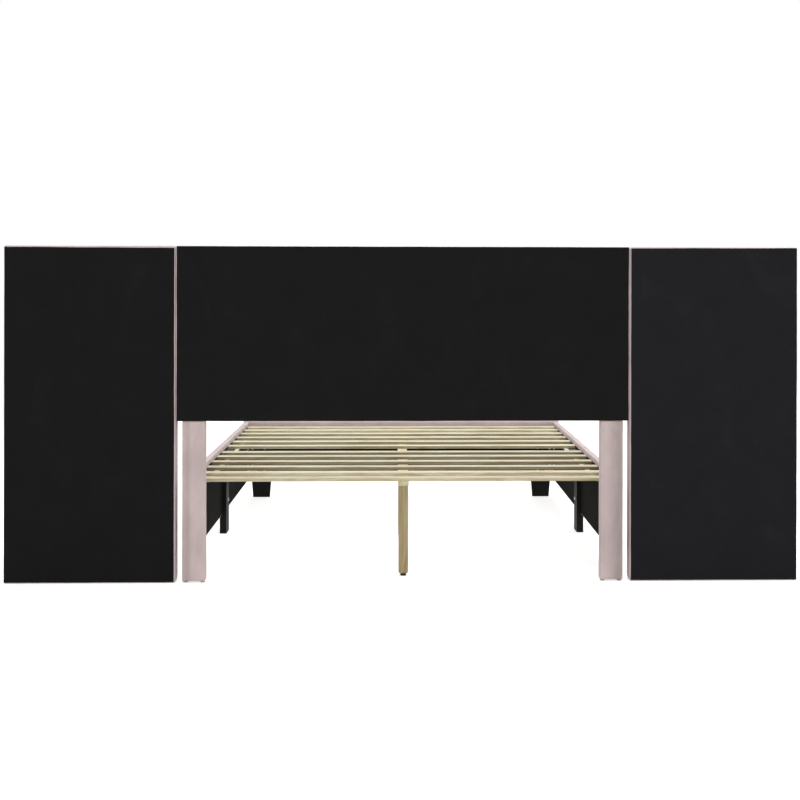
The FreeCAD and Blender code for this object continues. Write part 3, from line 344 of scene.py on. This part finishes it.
CORNER_SHARES = (0.0, 0.3, 0.62)


def edged(start, end, step, edge):
    """Places along one side of a box, closer together where its corners are rounded."""
    corner = [edge * share for share in CORNER_SHARES]
    middle = span(start + edge, end - edge, step)
    return [start + c for c in corner] + middle + [end - c for c in reversed(corner)]


def box_grid(xs, ys, zs):
    """The points and quads of a closed box whose faces are grids."""
    index, points, faces = {}, [], []

    def at(i, j, k):
        if (i, j, k) not in index:
            index[i, j, k] = len(points)
            points.append(Vector((xs[i], ys[j], zs[k])))
        return index[i, j, k]

    nx, ny, nz = len(xs) - 1, len(ys) - 1, len(zs) - 1
    for i in range(nx):
        for j in range(ny):
            faces.append((at(i, j, 0), at(i, j + 1, 0), at(i + 1, j + 1, 0), at(i + 1, j, 0)))
            faces.append((at(i, j, nz), at(i + 1, j, nz), at(i + 1, j + 1, nz), at(i, j + 1, nz)))
    for i in range(nx):
        for k in range(nz):
            faces.append((at(i, 0, k), at(i + 1, 0, k), at(i + 1, 0, k + 1), at(i, 0, k + 1)))
            faces.append((at(i, ny, k), at(i, ny, k + 1), at(i + 1, ny, k + 1), at(i + 1, ny, k)))
    for j in range(ny):
        for k in range(nz):
            faces.append((at(0, j, k), at(0, j, k + 1), at(0, j + 1, k + 1), at(0, j + 1, k)))
            faces.append((at(nx, j, k), at(nx, j + 1, k), at(nx, j + 1, k + 1), at(nx, j, k + 1)))
    return points, faces


def make(name, points, faces, material):
    """A new smooth mesh that rides on the root body."""
    mesh = bpy.data.meshes.new(name)
    mesh.from_pydata([tuple(p) for p in points], [], faces)
    mesh.validate()
    mesh.polygons.foreach_set("use_smooth", [True] * len(mesh.polygons))
    piece = bpy.data.objects.new(name, mesh)
    bpy.context.scene.collection.objects.link(piece)
    mesh.materials.append(material)
    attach(piece, "root")
    return piece


def rounded(point, start, end, radius):
    """A box's surface point moved onto its rounded edges, and the way out there."""
    inner = Vector(min(max(point[i], start[i] + radius), end[i] - radius) for i in range(3))
    out = point - inner
    if out.length < 1e-9:
        return point, Vector((0, 0, 1))
    out.normalize()
    return inner + out * radius, out


def soft(point, scale, seed=0.0):
    """Smooth noise from -1 to 1 in space."""
    return noise.noise(Vector((point[0] * scale, point[1] * scale, point[2] * scale + seed)))


def subdivided(piece):
    modifier = piece.modifiers.new("smooth", "SUBSURF")
    modifier.levels = modifier.render_levels = 1


def thickened(piece, thickness):
    modifier = piece.modifiers.new("thickness", "SOLIDIFY")
    modifier.thickness = thickness
    modifier.offset = 0


def sheet_faces(wide, high):
    """The quads of a grid of points, row by row."""
    faces = []
    for k in range(high - 1):
        for i in range(wide - 1):
            a = k * wide + i
            faces.append((a, a + 1, a + wide + 1, a + wide))
    return faces


CLOTH = {
    "quality": 5, "mass": 0.25, "air_damping": 2.0,
    "tension_stiffness": 20, "compression_stiffness": 12, "shear_stiffness": 8, "bending_stiffness": 0.6,
    "use_pressure": True, "uniform_pressure_force": 1.6,
    "vertex_group_mass": "held", "pin_stiffness": 4.0, "shrink_min": -0.012,
}
SWELL_FRAMES = 16
SWELL_MOST = 0.007


def inflate(piece, held):
    """Swells a piece as fabric over foam: cloth with air inside, held where held is 1."""
    rest = [v.co.copy() for v in piece.data.vertices]
    group = piece.vertex_groups.new(name="held")
    for index, weight in enumerate(held):
        group.add([index], weight, "REPLACE")
    cloth = piece.modifiers.new("cloth", "CLOTH")
    for key, value in CLOTH.items():
        setattr(cloth.settings, key, value)
    cloth.settings.effector_weights.gravity = 0
    cloth.collision_settings.use_collision = False
    cloth.point_cache.frame_start = 1
    cloth.point_cache.frame_end = SWELL_FRAMES
    scene = bpy.context.scene
    for frame_number in range(1, SWELL_FRAMES + 1):
        scene.frame_set(frame_number)
    graph = bpy.context.evaluated_depsgraph_get()
    swollen = [v.co.copy() for v in piece.evaluated_get(graph).data.vertices]
    piece.modifiers.remove(cloth)
    piece.vertex_groups.remove(group)
    for vertex, start, end, weight in zip(piece.data.vertices, rest, swollen, held):
        move = (end - start) * (1 - weight)
        if move.length > SWELL_MOST:
            move *= SWELL_MOST / move.length
        vertex.co = start + move
    scene.frame_set(1)


# Materials in use

GROOVE_AT = 0.790

velvet = velvet_material("dusty_pink_velvet", seen(212, 195, 193))
# Both post velvets carry a lane of painted shade near the post's outer edge. On the left it stands for
# the shade in the groove. On the right it is darker and wider, painted shade from the nearby wing.
post_base = seen(206, 188, 186)
post_velvet_painted_groove_shade = velvet_material("dusty_pink_post_velvet_painted_groove_shade", post_base, GROOVE_AT)
post_velvet_right_painted_wing_shade = velvet_material(
    "dusty_pink_post_velvet_right_painted_wing_shade", post_base, GROOVE_AT + 0.003, lane_shade=0.68, shade_reach=0.045)
# The rails' velvet is a darker copy of the same velvet: painted shade, so the rails' lit tops read
# darker.
rail_velvet_painted_shade = velvet_material("dusty_pink_rail_velvet_painted_shade", seen(203, 186, 186))
cover_black = nonwoven_material("black_dust_cover", seen(28, 28, 28))
# The right wing's cover is a lighter copy of the black cover: painted light, as if lit more from the
# right.
cover_black_painted_light_right = nonwoven_material("black_dust_cover_painted_light_right", seen(35, 35, 38))
lining_black = nonwoven_material("black_rail_lining", seen(20, 20, 18))
slat_tones = seen(223, 218, 192), seen(196, 183, 148)
dull_tones = seen(207, 202, 178), seen(176, 164, 132)
beam_tones = seen(226, 219, 190), seen(204, 190, 152)
leg_tones = seen(178, 163, 126), seen(156, 138, 99)
timber_tones = seen(214, 190, 148), seen(184, 150, 104)
pine_x = wood_material("planed_pine_slats", slat_tones, "X", knots=0.5)
# Slats 3 to 10 have painted shade on their faces that face along Y; slats 3 to 6 are also a duller tone.
pine_x_painted_edge_shade = wood_material("planed_pine_slats_painted_edge_shade", slat_tones, "X", knots=0.5, edge_shade=0.62)
pine_x_dull_painted_edge_shade = wood_material("planed_pine_slats_dull_painted_edge_shade", dull_tones, "X", knots=0.5, edge_shade=0.5)
pine_y = wood_material("planed_pine_beam", beam_tones, "Y", knots=0.5)
pine_z = wood_material("planed_pine_legs", leg_tones, "Z", knots=0.4)
timber_x = wood_material("sawn_timber", timber_tones, "X", knots=0.7)
timber_z = wood_material("sawn_posts", timber_tones, "Z", knots=0.7)
ply = board_material()
foam = foam_material()
lacquer = lacquer_material()
plastic = plastic_material()
nylon = nylon_material()
powder = powder_material()
zinc = zinc_material()
webbing = webbing_material()

NODE_MATERIALS = {
    "centre_beam": pine_y, "centre_legs": pine_z, "headboard_frame": timber_x,
    "wing_frame_left": timber_z, "wing_frame_right": timber_z, "post_left": timber_z,
    "post_right": timber_z, "rail_edge_strips": timber_x, "mid_leg_left": lacquer,
    "mid_leg_right": lacquer, "foot_left": lacquer, "foot_right": lacquer,
    "slat_ledgers": powder, "corner_brackets": powder, "slat_straps": webbing, "post_glides": nylon,
    "leveller_head": plastic, "leveller_middle": plastic, "leveller_foot": plastic,
}


def slat_wood(name):
    """Slats 3 to 6 are a duller tone with painted shade on their faces along Y, and 7 to 10 have only
    that painted shade.
    """
    number = int(name.split("_")[1])
    if 3 <= number <= 6:
        return pine_x_dull_painted_edge_shade
    return pine_x_painted_edge_shade if 7 <= number <= 10 else pine_x


for name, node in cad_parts.items():
    if name in NODE_MATERIALS:
        material = NODE_MATERIALS[name]
    elif name.startswith("slat_"):
        material = slat_wood(name)
    elif "board" in name and not name.endswith(("cover", "foam", "frame")):
        material = ply
    elif "foam" in name:
        material = foam
    else:
        material = zinc
    if not node.material_slots:
        node.data.materials.append(material)
    for item in node.material_slots:
        item.material = material


# Padded headboard panels

CROWN = 0.008
CROWN_SHARE, CROWN_POWER, CROWN_FULL = 0.57, 2.2, 0.75
BOARD_FRONT = 0.050
BACK_EDGE, FRONT_EDGE = 0.004, 0.022
FACE_STEP, DEPTH_STEP = 0.020, 0.012
AT_SIDE = 0.004
HELD_SIDE = 0.92
SIDE_ROOM, TOP_ROOM, FACE_ROOM = 0.004, 0.005, 0.006


def panel(name, nodes, held_sides, seed):
    """A velvet panel: straight sides round the frame, soft front edges and a crowned face."""
    start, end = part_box(nodes[0])
    face = end.y - CROWN
    low_corner, high_corner = start.copy(), Vector((end.x, face, end.z))
    xs = edged(start.x, end.x, FACE_STEP, FRONT_EDGE)
    zs = edged(start.z, end.z, FACE_STEP, FRONT_EDGE)
    ys = [start.y, start.y + 0.0015, start.y + BACK_EDGE]
    ys += span(start.y + DEPTH_STEP, face - FRONT_EDGE, DEPTH_STEP)
    ys += [face - FRONT_EDGE * share for share in reversed(CORNER_SHARES)]
    points, faces = box_grid(xs, ys, zs)
    crown_reach = CROWN_SHARE * min(end.x - start.x, end.z - start.z) / 2
    held = []
    shaped = []
    for point in points:
        depth = rise(point.y, start.y + BOARD_FRONT, face)
        radius = BACK_EDGE + (FRONT_EDGE - BACK_EDGE) * depth
        place, out = rounded(point, low_corner, high_corner, radius)
        left, right = point.x - start.x, end.x - point.x
        below, above = point.z - start.z, end.z - point.z
        if out.y > 0.3:
            share = min(1.0, max(0.0, min(left, right, below, above)) / crown_reach)
            place.y += (1 - (1 - share) ** CROWN_POWER) * CROWN * CROWN_FULL * out.y
        ripple = soft(point, 9.0, seed) * 0.0006 + soft(point, 31.0, seed) * 0.0003
        loose = rise(point.y, start.y + 0.02, face - 0.005)
        pressed = (held_sides[0] and left < AT_SIDE) or (held_sides[1] and right < AT_SIDE)
        side = 0.0 if pressed or below < AT_SIDE else 1.0
        if point.y > start.y + 0.0001:
            place += out * ripple * side * (0.4 + loose)
        pin = 1 - loose * (0.4 + 0.6 * side)
        if side == 0.0:
            pin = max(pin, HELD_SIDE)
        held.append(min(1.0, max(0.0, pin)))
        shaped.append(place)
    piece = make(name, shaped, faces, velvet)
    inflate(piece, held)
    left = start.x - (0 if held_sides[0] else SIDE_ROOM)
    right = end.x + (0 if held_sides[1] else SIDE_ROOM)
    for vertex in piece.data.vertices:
        vertex.co.x = min(max(vertex.co.x, left), right)
        vertex.co.z = min(max(vertex.co.z, start.z), end.z + TOP_ROOM)
        vertex.co.y = min(vertex.co.y, end.y + FACE_ROOM)
    subdivided(piece)
    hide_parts(*nodes)


panel("headboard_velvet", ["headboard_cover", "headboard_foam"], (True, True), 3.0)
panel("wing_velvet_left", ["wing_cover_left", "wing_foam_left"], (False, True), 11.0)
panel("wing_velvet_right", ["wing_cover_right", "wing_foam_right"], (True, False), 19.0)


# Black dust covers on the panels' backs

COVER_THICKNESS = 0.0008
COVER_STEP = 0.012
HEM, HEM_END, HEM_HEIGHT = 0.0105, 0.0135, 0.0007
STAPLE_SPACING = 0.058
PUCKER_HEIGHT, PUCKER_REACH = 0.00045, 0.045
SLACK_REACH = 0.10
STRAY, STRAY_REACH = 0.0008, 0.02
FALL_REACH = 0.15


def edge_distance(place, start, end):
    """How far a place is from the nearest edge, and its distance along that edge."""
    across = [(place[0] - start[0], place[1]), (end[0] - place[0], place[1]),
              (place[1] - start[1], place[0]), (end[1] - place[1], place[0])]
    return min(across)


def cloth_height(place, start, end, seed, slack):
    """How far a stapled cover stands off: its folded hem, the puckers between staples, and slack."""
    x, z = place
    inset, along = edge_distance(place, start, end)
    hem = HEM_HEIGHT * (1 - rise(inset, HEM, HEM_END)) * rise(inset, -0.001, 0.0012)
    turn = along / STAPLE_SPACING * 2 * math.pi + soft((along, 0, 0), 6.0, seed)
    pucker = PUCKER_HEIGHT * math.exp(-inset / PUCKER_REACH) * (1 + math.cos(turn))
    wave = soft((x, seed, z), 2.2, seed) + 0.5 * soft((x * 1.6, seed, z), 6.0, seed)
    crease = abs(soft((x + 0.35 * z, 0, z * 0.5), 3.4, seed + 7))
    return hem + pucker + rise(inset, 0.0, SLACK_REACH) * slack * (0.9 + 0.8 * wave - 0.5 * crease)


def cover_sheet(name, node, material, seed, grow=(0, 0, 0, 0), slack=0.0011, fall=0.0):
    """A thin cover whose hem is folded under and stapled to the frame; its top may fall to the right."""
    start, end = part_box(node)
    left, right = start.x - grow[0], end.x + grow[1]
    bottom, top = start.z - grow[2], end.z + grow[3]
    base = end.y - COVER_THICKNESS / 2
    xs = edged(left, right, COVER_STEP, COVER_STEP)
    zs = edged(bottom, top, COVER_STEP, COVER_STEP)
    points = []
    for z in zs:
        for x in xs:
            height = cloth_height((x, z), (left, bottom), (right, top), seed, slack)
            inset = min(x - left, right - x, z - bottom, top - z)
            stray = STRAY * (1 - rise(inset, 0.0, STRAY_REACH))
            dx = soft((x, 0, z), 8.0, seed) * stray
            dz = soft((x, 0, z), 8.0, seed + 5) * stray
            if top - z < 0.001 or z - bottom < 0.001:
                dx = 0.0
            dz -= fall * (x - left) / (right - left) * rise(z, top - FALL_REACH, top)
            points.append(Vector((x + dx, base - height, z + dz)))
    faces = sheet_faces(len(xs), len(zs))
    piece = make(name, points, faces, material)
    thickened(piece, COVER_THICKNESS)
    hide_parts(node)


cover_sheet("headboard_dust_cover", "headboard_back_cover", cover_black, 2.0,
            grow=(0.0, 0.0, 0.0045, 0.003))
cover_sheet("wing_dust_cover_left", "wing_back_cover_left", cover_black, 5.0,
            grow=(0.002, 0.0, 0.0, -0.001), fall=0.0025)
cover_sheet("wing_dust_cover_right", "wing_back_cover_right", cover_black_painted_light_right, 8.0,
            grow=(0.0, 0.003, 0.0, -0.001), fall=-0.002)


# Velvet sleeves on the posts

SLEEVE_EDGE = 0.005
SLEEVE_STEP, SLEEVE_CORNER = 0.007, 0.006
SLEEVE_RISE, SLEEVE_END = 0.011, 0.004
GROOVE_DEPTH, GROOVE_WIDTH = 0.0009, 0.010
FOLD_HEIGHT, FOLD_ARM, FOLD_WIDTH, FOLD_DEPTH = 0.050, 0.030, 0.22, 0.0022


def post_sleeve(name, node, material, seed, fold):
    """A post wrapped in velvet: soft corners, a lengthwise groove, gathered ends and maybe a fold."""
    start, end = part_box(node)
    xs = edged(start.x, end.x, SLEEVE_STEP, SLEEVE_CORNER)
    ys = edged(start.y, end.y, SLEEVE_STEP, SLEEVE_CORNER)
    zs = edged(start.z, end.z, SLEEVE_RISE, SLEEVE_END)
    points, faces = box_grid(xs, ys, zs)
    for index, point in enumerate(points):
        place, out = rounded(point, start, end, SLEEVE_EDGE)
        level = Vector((out.x, out.y, 0))
        plan = (point.x, point.y, 0)
        drag = soft((point.x * 5, point.y * 5, point.z * 0.5), 11.0, seed) * 0.0007
        dents = soft(point, 24.0, seed + 3) * 0.00035
        at_top = rise(point.z, end.z - 0.05, end.z)
        at_foot = 1 - rise(point.z, start.z, start.z + 0.03)
        gather = at_top * soft(plan, 90.0, seed) * 0.0012
        gather += at_foot * soft(plan, 80.0, seed + 4) * 0.0008
        place += level * (drag + dents + gather)
        if out.y < -0.5:
            bend = 0.0015 * soft((0, 0, point.z), 5.0, seed)
            away = (abs(point.x) - GROOVE_AT + bend) / GROOVE_WIDTH
            place.y += GROOVE_DEPTH * math.exp(-away ** 2)
        if fold and out.y < -0.5:
            depth = (end.z - point.z) / FOLD_HEIGHT
            arm = abs(point.x - GROOVE_AT) / FOLD_ARM
            ridge = math.exp(-((arm + depth - 1.0) / FOLD_WIDTH) ** 2)
            place.y -= FOLD_DEPTH * ridge * (1 - rise(depth, 0.8, 1.15))
        points[index] = place
    piece = make(name, points, faces, material)
    subdivided(piece)
    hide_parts(node)


post_sleeve("post_velvet_left", "post_sleeve_left", post_velvet_painted_groove_shade, 4.0, False)
post_sleeve("post_velvet_right_painted_wing_shade", "post_sleeve_right", post_velvet_right_painted_wing_shade, 9.0, True)


# Velvet round the rails

BAND = 0.361
LOW_CORNER = 0.004
RECESS, RECESS_START = 0.0192, 0.0185
TURNED = 0.0203
LINING_END = 0.7372
SIDE_EDGES, FOOT_EDGES = (0.008, 0.005), (0.012, 0.012)
FOOT_END = 0.008
SHARP_ANGLE = 50


def arc(centre, radius, start, end, count=5):
    turns = [math.radians(start + (end - start) * i / count) for i in range(count + 1)]
    return [(centre[0] + radius * math.cos(t), centre[1] + radius * math.sin(t)) for t in turns]


def rail_outline(width, bottom, top, outer, inner):
    """A wrapped rail's section: its outer face at 0, its top, and the return to the lining's recess."""
    line = arc((LOW_CORNER, bottom + LOW_CORNER), LOW_CORNER, 270, 180, 3)
    line += [(0.0, z) for z in span(bottom + 0.02, top - 0.02, 0.022)]
    line += arc((outer, top - outer), outer, 180, 90)
    line += arc((width - inner, top - inner), inner, 90, 0)
    line += [(width, BAND + 0.011), (width, BAND + 0.003)]
    line += arc((width - 0.002, BAND + 0.002), 0.002, 0, -90, 2)
    line += [((width + RECESS) / 2, BAND), (RECESS, BAND - 0.0005)]
    line += [(RECESS, z) for z in span(BAND - 0.02, bottom + 0.03, 0.03)]
    line += [(TURNED, bottom + 0.02), (TURNED, bottom + 0.004)]
    line += arc((TURNED - 0.003, bottom + 0.003), 0.003, 0, -90, 2)
    line += [(0.010, bottom)]
    return line


def outward_ways(outline):
    """The way out at each point of a closed section."""
    ways = []
    for i in range(len(outline)):
        before, after = outline[i - 1], outline[(i + 1) % len(outline)]
        du, dz = after[0] - before[0], after[1] - before[1]
        length = math.hypot(du, dz) or 1.0
        ways.append((-dz / length, du / length))
    return ways


def sharpened(piece):
    """Turns a piece's normals out and keeps its sharper edges sharp."""
    work = bmesh.new()
    work.from_mesh(piece.data)
    bmesh.ops.recalc_face_normals(work, faces=work.faces)
    for edge in work.edges:
        if len(edge.link_faces) == 2 and edge.calc_face_angle(0.0) > math.radians(SHARP_ANGLE):
            edge.smooth = False
    work.to_mesh(piece.data)
    work.free()


def rail_cover(name, node, along, outer, stations, seed, edges=SIDE_EDGES, full=None, ends=0.0):
    """Sweeps the wrapped section along X or Y; outer is the outer face's place and side.

    The recess is filled beyond full, and ends is the radius that rounds the rail's ends.
    """
    start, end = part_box(node)
    across = 1 - along
    width = end[across] - start[across]
    outline = rail_outline(width, start.z, end.z, *edges)
    place, side = outer
    points, faces = [], []
    count = len(outline)
    ways = outward_ways(outline)
    for station in stations:
        gap = min(station - start[along], end[along] - station)
        inset = 0.0
        if ends and gap < ends:
            inset = ends - math.sqrt(max(0.0, ends ** 2 - (ends - gap) ** 2))
        filled = full is not None and abs(station) > full
        for (u, z), (wu, wz) in zip(outline, ways):
            recess = z < BAND + 0.001 and RECESS_START < u < width - 0.0005
            if filled and z < BAND + 0.0045 and u > RECESS_START:
                u, recess = width, False
            if not recess:
                here = (station, u * 2, z)
                loose = 0.0007 * soft(here, 7.0, seed) + 0.0004 * soft(here, 23.0, seed)
                drag = 0.0005 * soft((station * 0.6, u, z * 3), 16.0, seed + 2)
                move = (loose + drag) * rise(gap, 0.0, 0.03)
                u, z = u + wu * move, z + wz * move
            u = min(max(u, inset), width - inset)
            z = min(max(z, start.z + inset), end.z - inset)
            spot = [0.0, 0.0, z]
            spot[along] = station
            spot[across] = place - side * u
            points.append(Vector(spot))
    rows = len(stations)
    for r in range(rows - 1):
        for i in range(count):
            j = (i + 1) % count
            faces.append((r * count + i, r * count + j, (r + 1) * count + j, (r + 1) * count + i))
    faces.append(tuple(range(count)))
    faces.append(tuple((rows - 1) * count + i for i in reversed(range(count))))
    piece = make(name, points, faces, rail_velvet_painted_shade)
    sharpened(piece)
    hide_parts(node)
    return piece


side_low, side_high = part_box("side_rail_cover_left")
side_stations = span(side_low.y, side_high.y, 0.016)
rail_cover("side_rail_velvet_left", "side_rail_cover_left", 1, (side_low.x, -1), side_stations, 1.0)
side_low, side_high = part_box("side_rail_cover_right")
rail_cover("side_rail_velvet_right", "side_rail_cover_right", 1, (side_high.x, 1), side_stations, 6.0)
foot_low, foot_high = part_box("foot_rail_cover")
end_steps = (0.0, 0.0008, 0.0025, 0.005, FOOT_END)
foot_stations = [foot_low.x + e for e in end_steps]
foot_stations += span(foot_low.x + 0.016, -LINING_END - 0.002, 0.014)
foot_stations += span(-LINING_END, LINING_END, 0.016)
foot_stations += span(LINING_END + 0.002, foot_high.x - 0.016, 0.014)
foot_stations += [foot_high.x - e for e in reversed(end_steps)]
foot = rail_cover("foot_rail_velvet", "foot_rail_cover", 0, (foot_high.y, 1), foot_stations, 12.0,
                  edges=FOOT_EDGES, full=LINING_END + 0.001, ends=FOOT_END)
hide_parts("rail_foam")


# Black linings inside the rails

LINING_THICKNESS = 0.0006
LINING_STEP, LINING_EDGE = 0.014, 0.010
SIDE_LINING_AT, FOOT_LINING_AT = 0.7871, 1.0656
LINING_GAP, FOOT_LINING_GAP = 0.002, 0.001
LINING_HEM, LINING_PUCKER, LINING_WAVE = 0.00025, 0.00018, 0.0002
LINING_STAPLES = 0.06


def lining(name, board, across, plane, side, start, end, seed):
    """A thin lining across the rail's inner recess: a flat hem, then faint puckers."""
    bottom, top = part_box("rail_linings")[0].z + 0.0045, BAND - 0.001
    us = edged(start, end, LINING_STEP, LINING_EDGE)
    zs = edged(bottom, top, LINING_STEP, LINING_EDGE)
    points = []
    for z in zs:
        for u in us:
            inset, along = edge_distance((u, z), (start, bottom), (end, top))
            turn = along / LINING_STAPLES * 2 * math.pi
            height = LINING_HEM * (1 - rise(inset, 0.010, 0.013))
            height += LINING_PUCKER * math.exp(-inset / 0.04) * (1 + math.cos(turn))
            height += LINING_WAVE * (1 + soft((u, seed, z), 7.0, seed)) * rise(inset, 0.0, 0.05)
            spot = [0.0, 0.0, z]
            spot[1 - across] = u
            spot[across] = plane + side * height
            points.append(Vector(spot))
    piece = make(name, points, sheet_faces(len(us), len(zs)), lining_black)
    thickened(piece, LINING_THICKNESS)
    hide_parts("rail_linings")


side_ends = side_low.y + LINING_GAP, side_high.y - LINING_GAP
foot_ends = FOOT_LINING_GAP - LINING_END, LINING_END - FOOT_LINING_GAP
lining("rail_lining_left", "side_rail_board_left", 0, -SIDE_LINING_AT, 1, *side_ends, 1.0)
lining("rail_lining_right", "side_rail_board_right", 0, SIDE_LINING_AT, -1, *side_ends, 2.0)
lining("rail_lining_foot", "foot_rail_board", 1, FOOT_LINING_AT, -1, *foot_ends, 3.0)


# Camera, light and floor

AMBIENT = 0.41
FLOOR_GLOW = 0.58

camera_data = bpy.data.cameras.new("camera")
camera = bpy.data.objects.new("camera", camera_data)
bpy.context.scene.collection.objects.link(camera)
camera.location = (-0.0272, -6.451, 1.0955)
camera.rotation_euler = (math.radians(90), math.radians(-0.111), math.radians(-1.843))
camera_data.sensor_width = 36
camera_data.lens = 65.87
camera_data.shift_x = -0.0545
camera_data.shift_y = -0.1460
camera_data.clip_end = 200
bpy.context.scene.camera = camera


def area_light(name, place, target, size, power):
    light = bpy.data.lights.new(name, "AREA")
    light.shape = "RECTANGLE"
    light.size, light.size_y = size
    light.energy = power
    item = bpy.data.objects.new(name, light)
    bpy.context.scene.collection.objects.link(item)
    item.location = place
    item.rotation_euler = (Vector(target) - Vector(place)).to_track_quat("-Z", "Y").to_euler()


area_light("top_softbox", (0.3, -0.6, 4.2), (0.0, 0.0, 0.0), (5.0, 4.0), 160)
area_light("camera_softbox", (1.0, -6.5, 2.4), (0.0, -1.0, 0.6), (8.0, 3.0), 76)
area_light("foot_softbox", (0.4, 6.0, 3.0), (0.0, 0.0, 0.5), (4.0, 3.0), 70)
area_light("left_fill", (-3.6, -4.2, 0.9), (0.85, -1.0, 0.5), (1.6, 1.2), 12)
area_light("right_fill", (3.6, -4.2, 0.9), (-0.85, -1.0, 0.5), (1.6, 1.2), 12)

world = bpy.data.worlds.new("studio")
bpy.context.scene.world = world
world.use_nodes = True
tree = world.node_tree
tree.nodes.clear()
world_output = tree.nodes.new("ShaderNodeOutputWorld")
ambient = tree.nodes.new("ShaderNodeBackground")
ambient.inputs["Color"].default_value = grey(1)
ambient.inputs["Strength"].default_value = AMBIENT
white = tree.nodes.new("ShaderNodeBackground")
white.inputs["Color"].default_value = grey(1)
white.inputs["Strength"].default_value = 1.0
path = tree.nodes.new("ShaderNodeLightPath")


def either(first, second):
    item = tree.nodes.new("ShaderNodeMath")
    item.operation = "MAXIMUM"
    tree.links.new(first, item.inputs[0])
    tree.links.new(second, item.inputs[1])
    return item.outputs[0]


shown = either(either(path.outputs["Is Camera Ray"], path.outputs["Is Glossy Ray"]),
               path.outputs["Is Transmission Ray"])
choice = tree.nodes.new("ShaderNodeMixShader")
tree.links.new(shown, choice.inputs[0])
tree.links.new(ambient.outputs[0], choice.inputs[1])
tree.links.new(white.outputs[0], choice.inputs[2])
tree.links.new(choice.outputs[0], world_output.inputs["Surface"])

floor = Nodes("pale_floor")
rays = floor.node("ShaderNodeLightPath")
floor.finish(grey(0.86), 0.9, None, Specular_IOR_Level=0.05)
floor.shader.inputs["Emission Color"].default_value = grey(1)
lifted = floor.math("MAXIMUM", rays.outputs["Is Camera Ray"], rays.outputs["Is Glossy Ray"])
floor.link(floor.math("MULTIPLY", lifted, FLOOR_GLOW), floor.shader.inputs["Emission Strength"])
floor_mesh = bpy.data.meshes.new("floor")
floor_mesh.from_pydata([(-6, -7, 0), (6, -7, 0), (6, 5.5, 0), (-6, 5.5, 0)], [], [(0, 1, 2, 3)])
floor_mesh.materials.append(floor.material)
floor_plane = bpy.data.objects.new("floor", floor_mesh)
bpy.context.scene.collection.objects.link(floor_plane)
floor_plane.location.z = -0.0005

bpy.context.scene.view_settings.view_transform = "Standard"
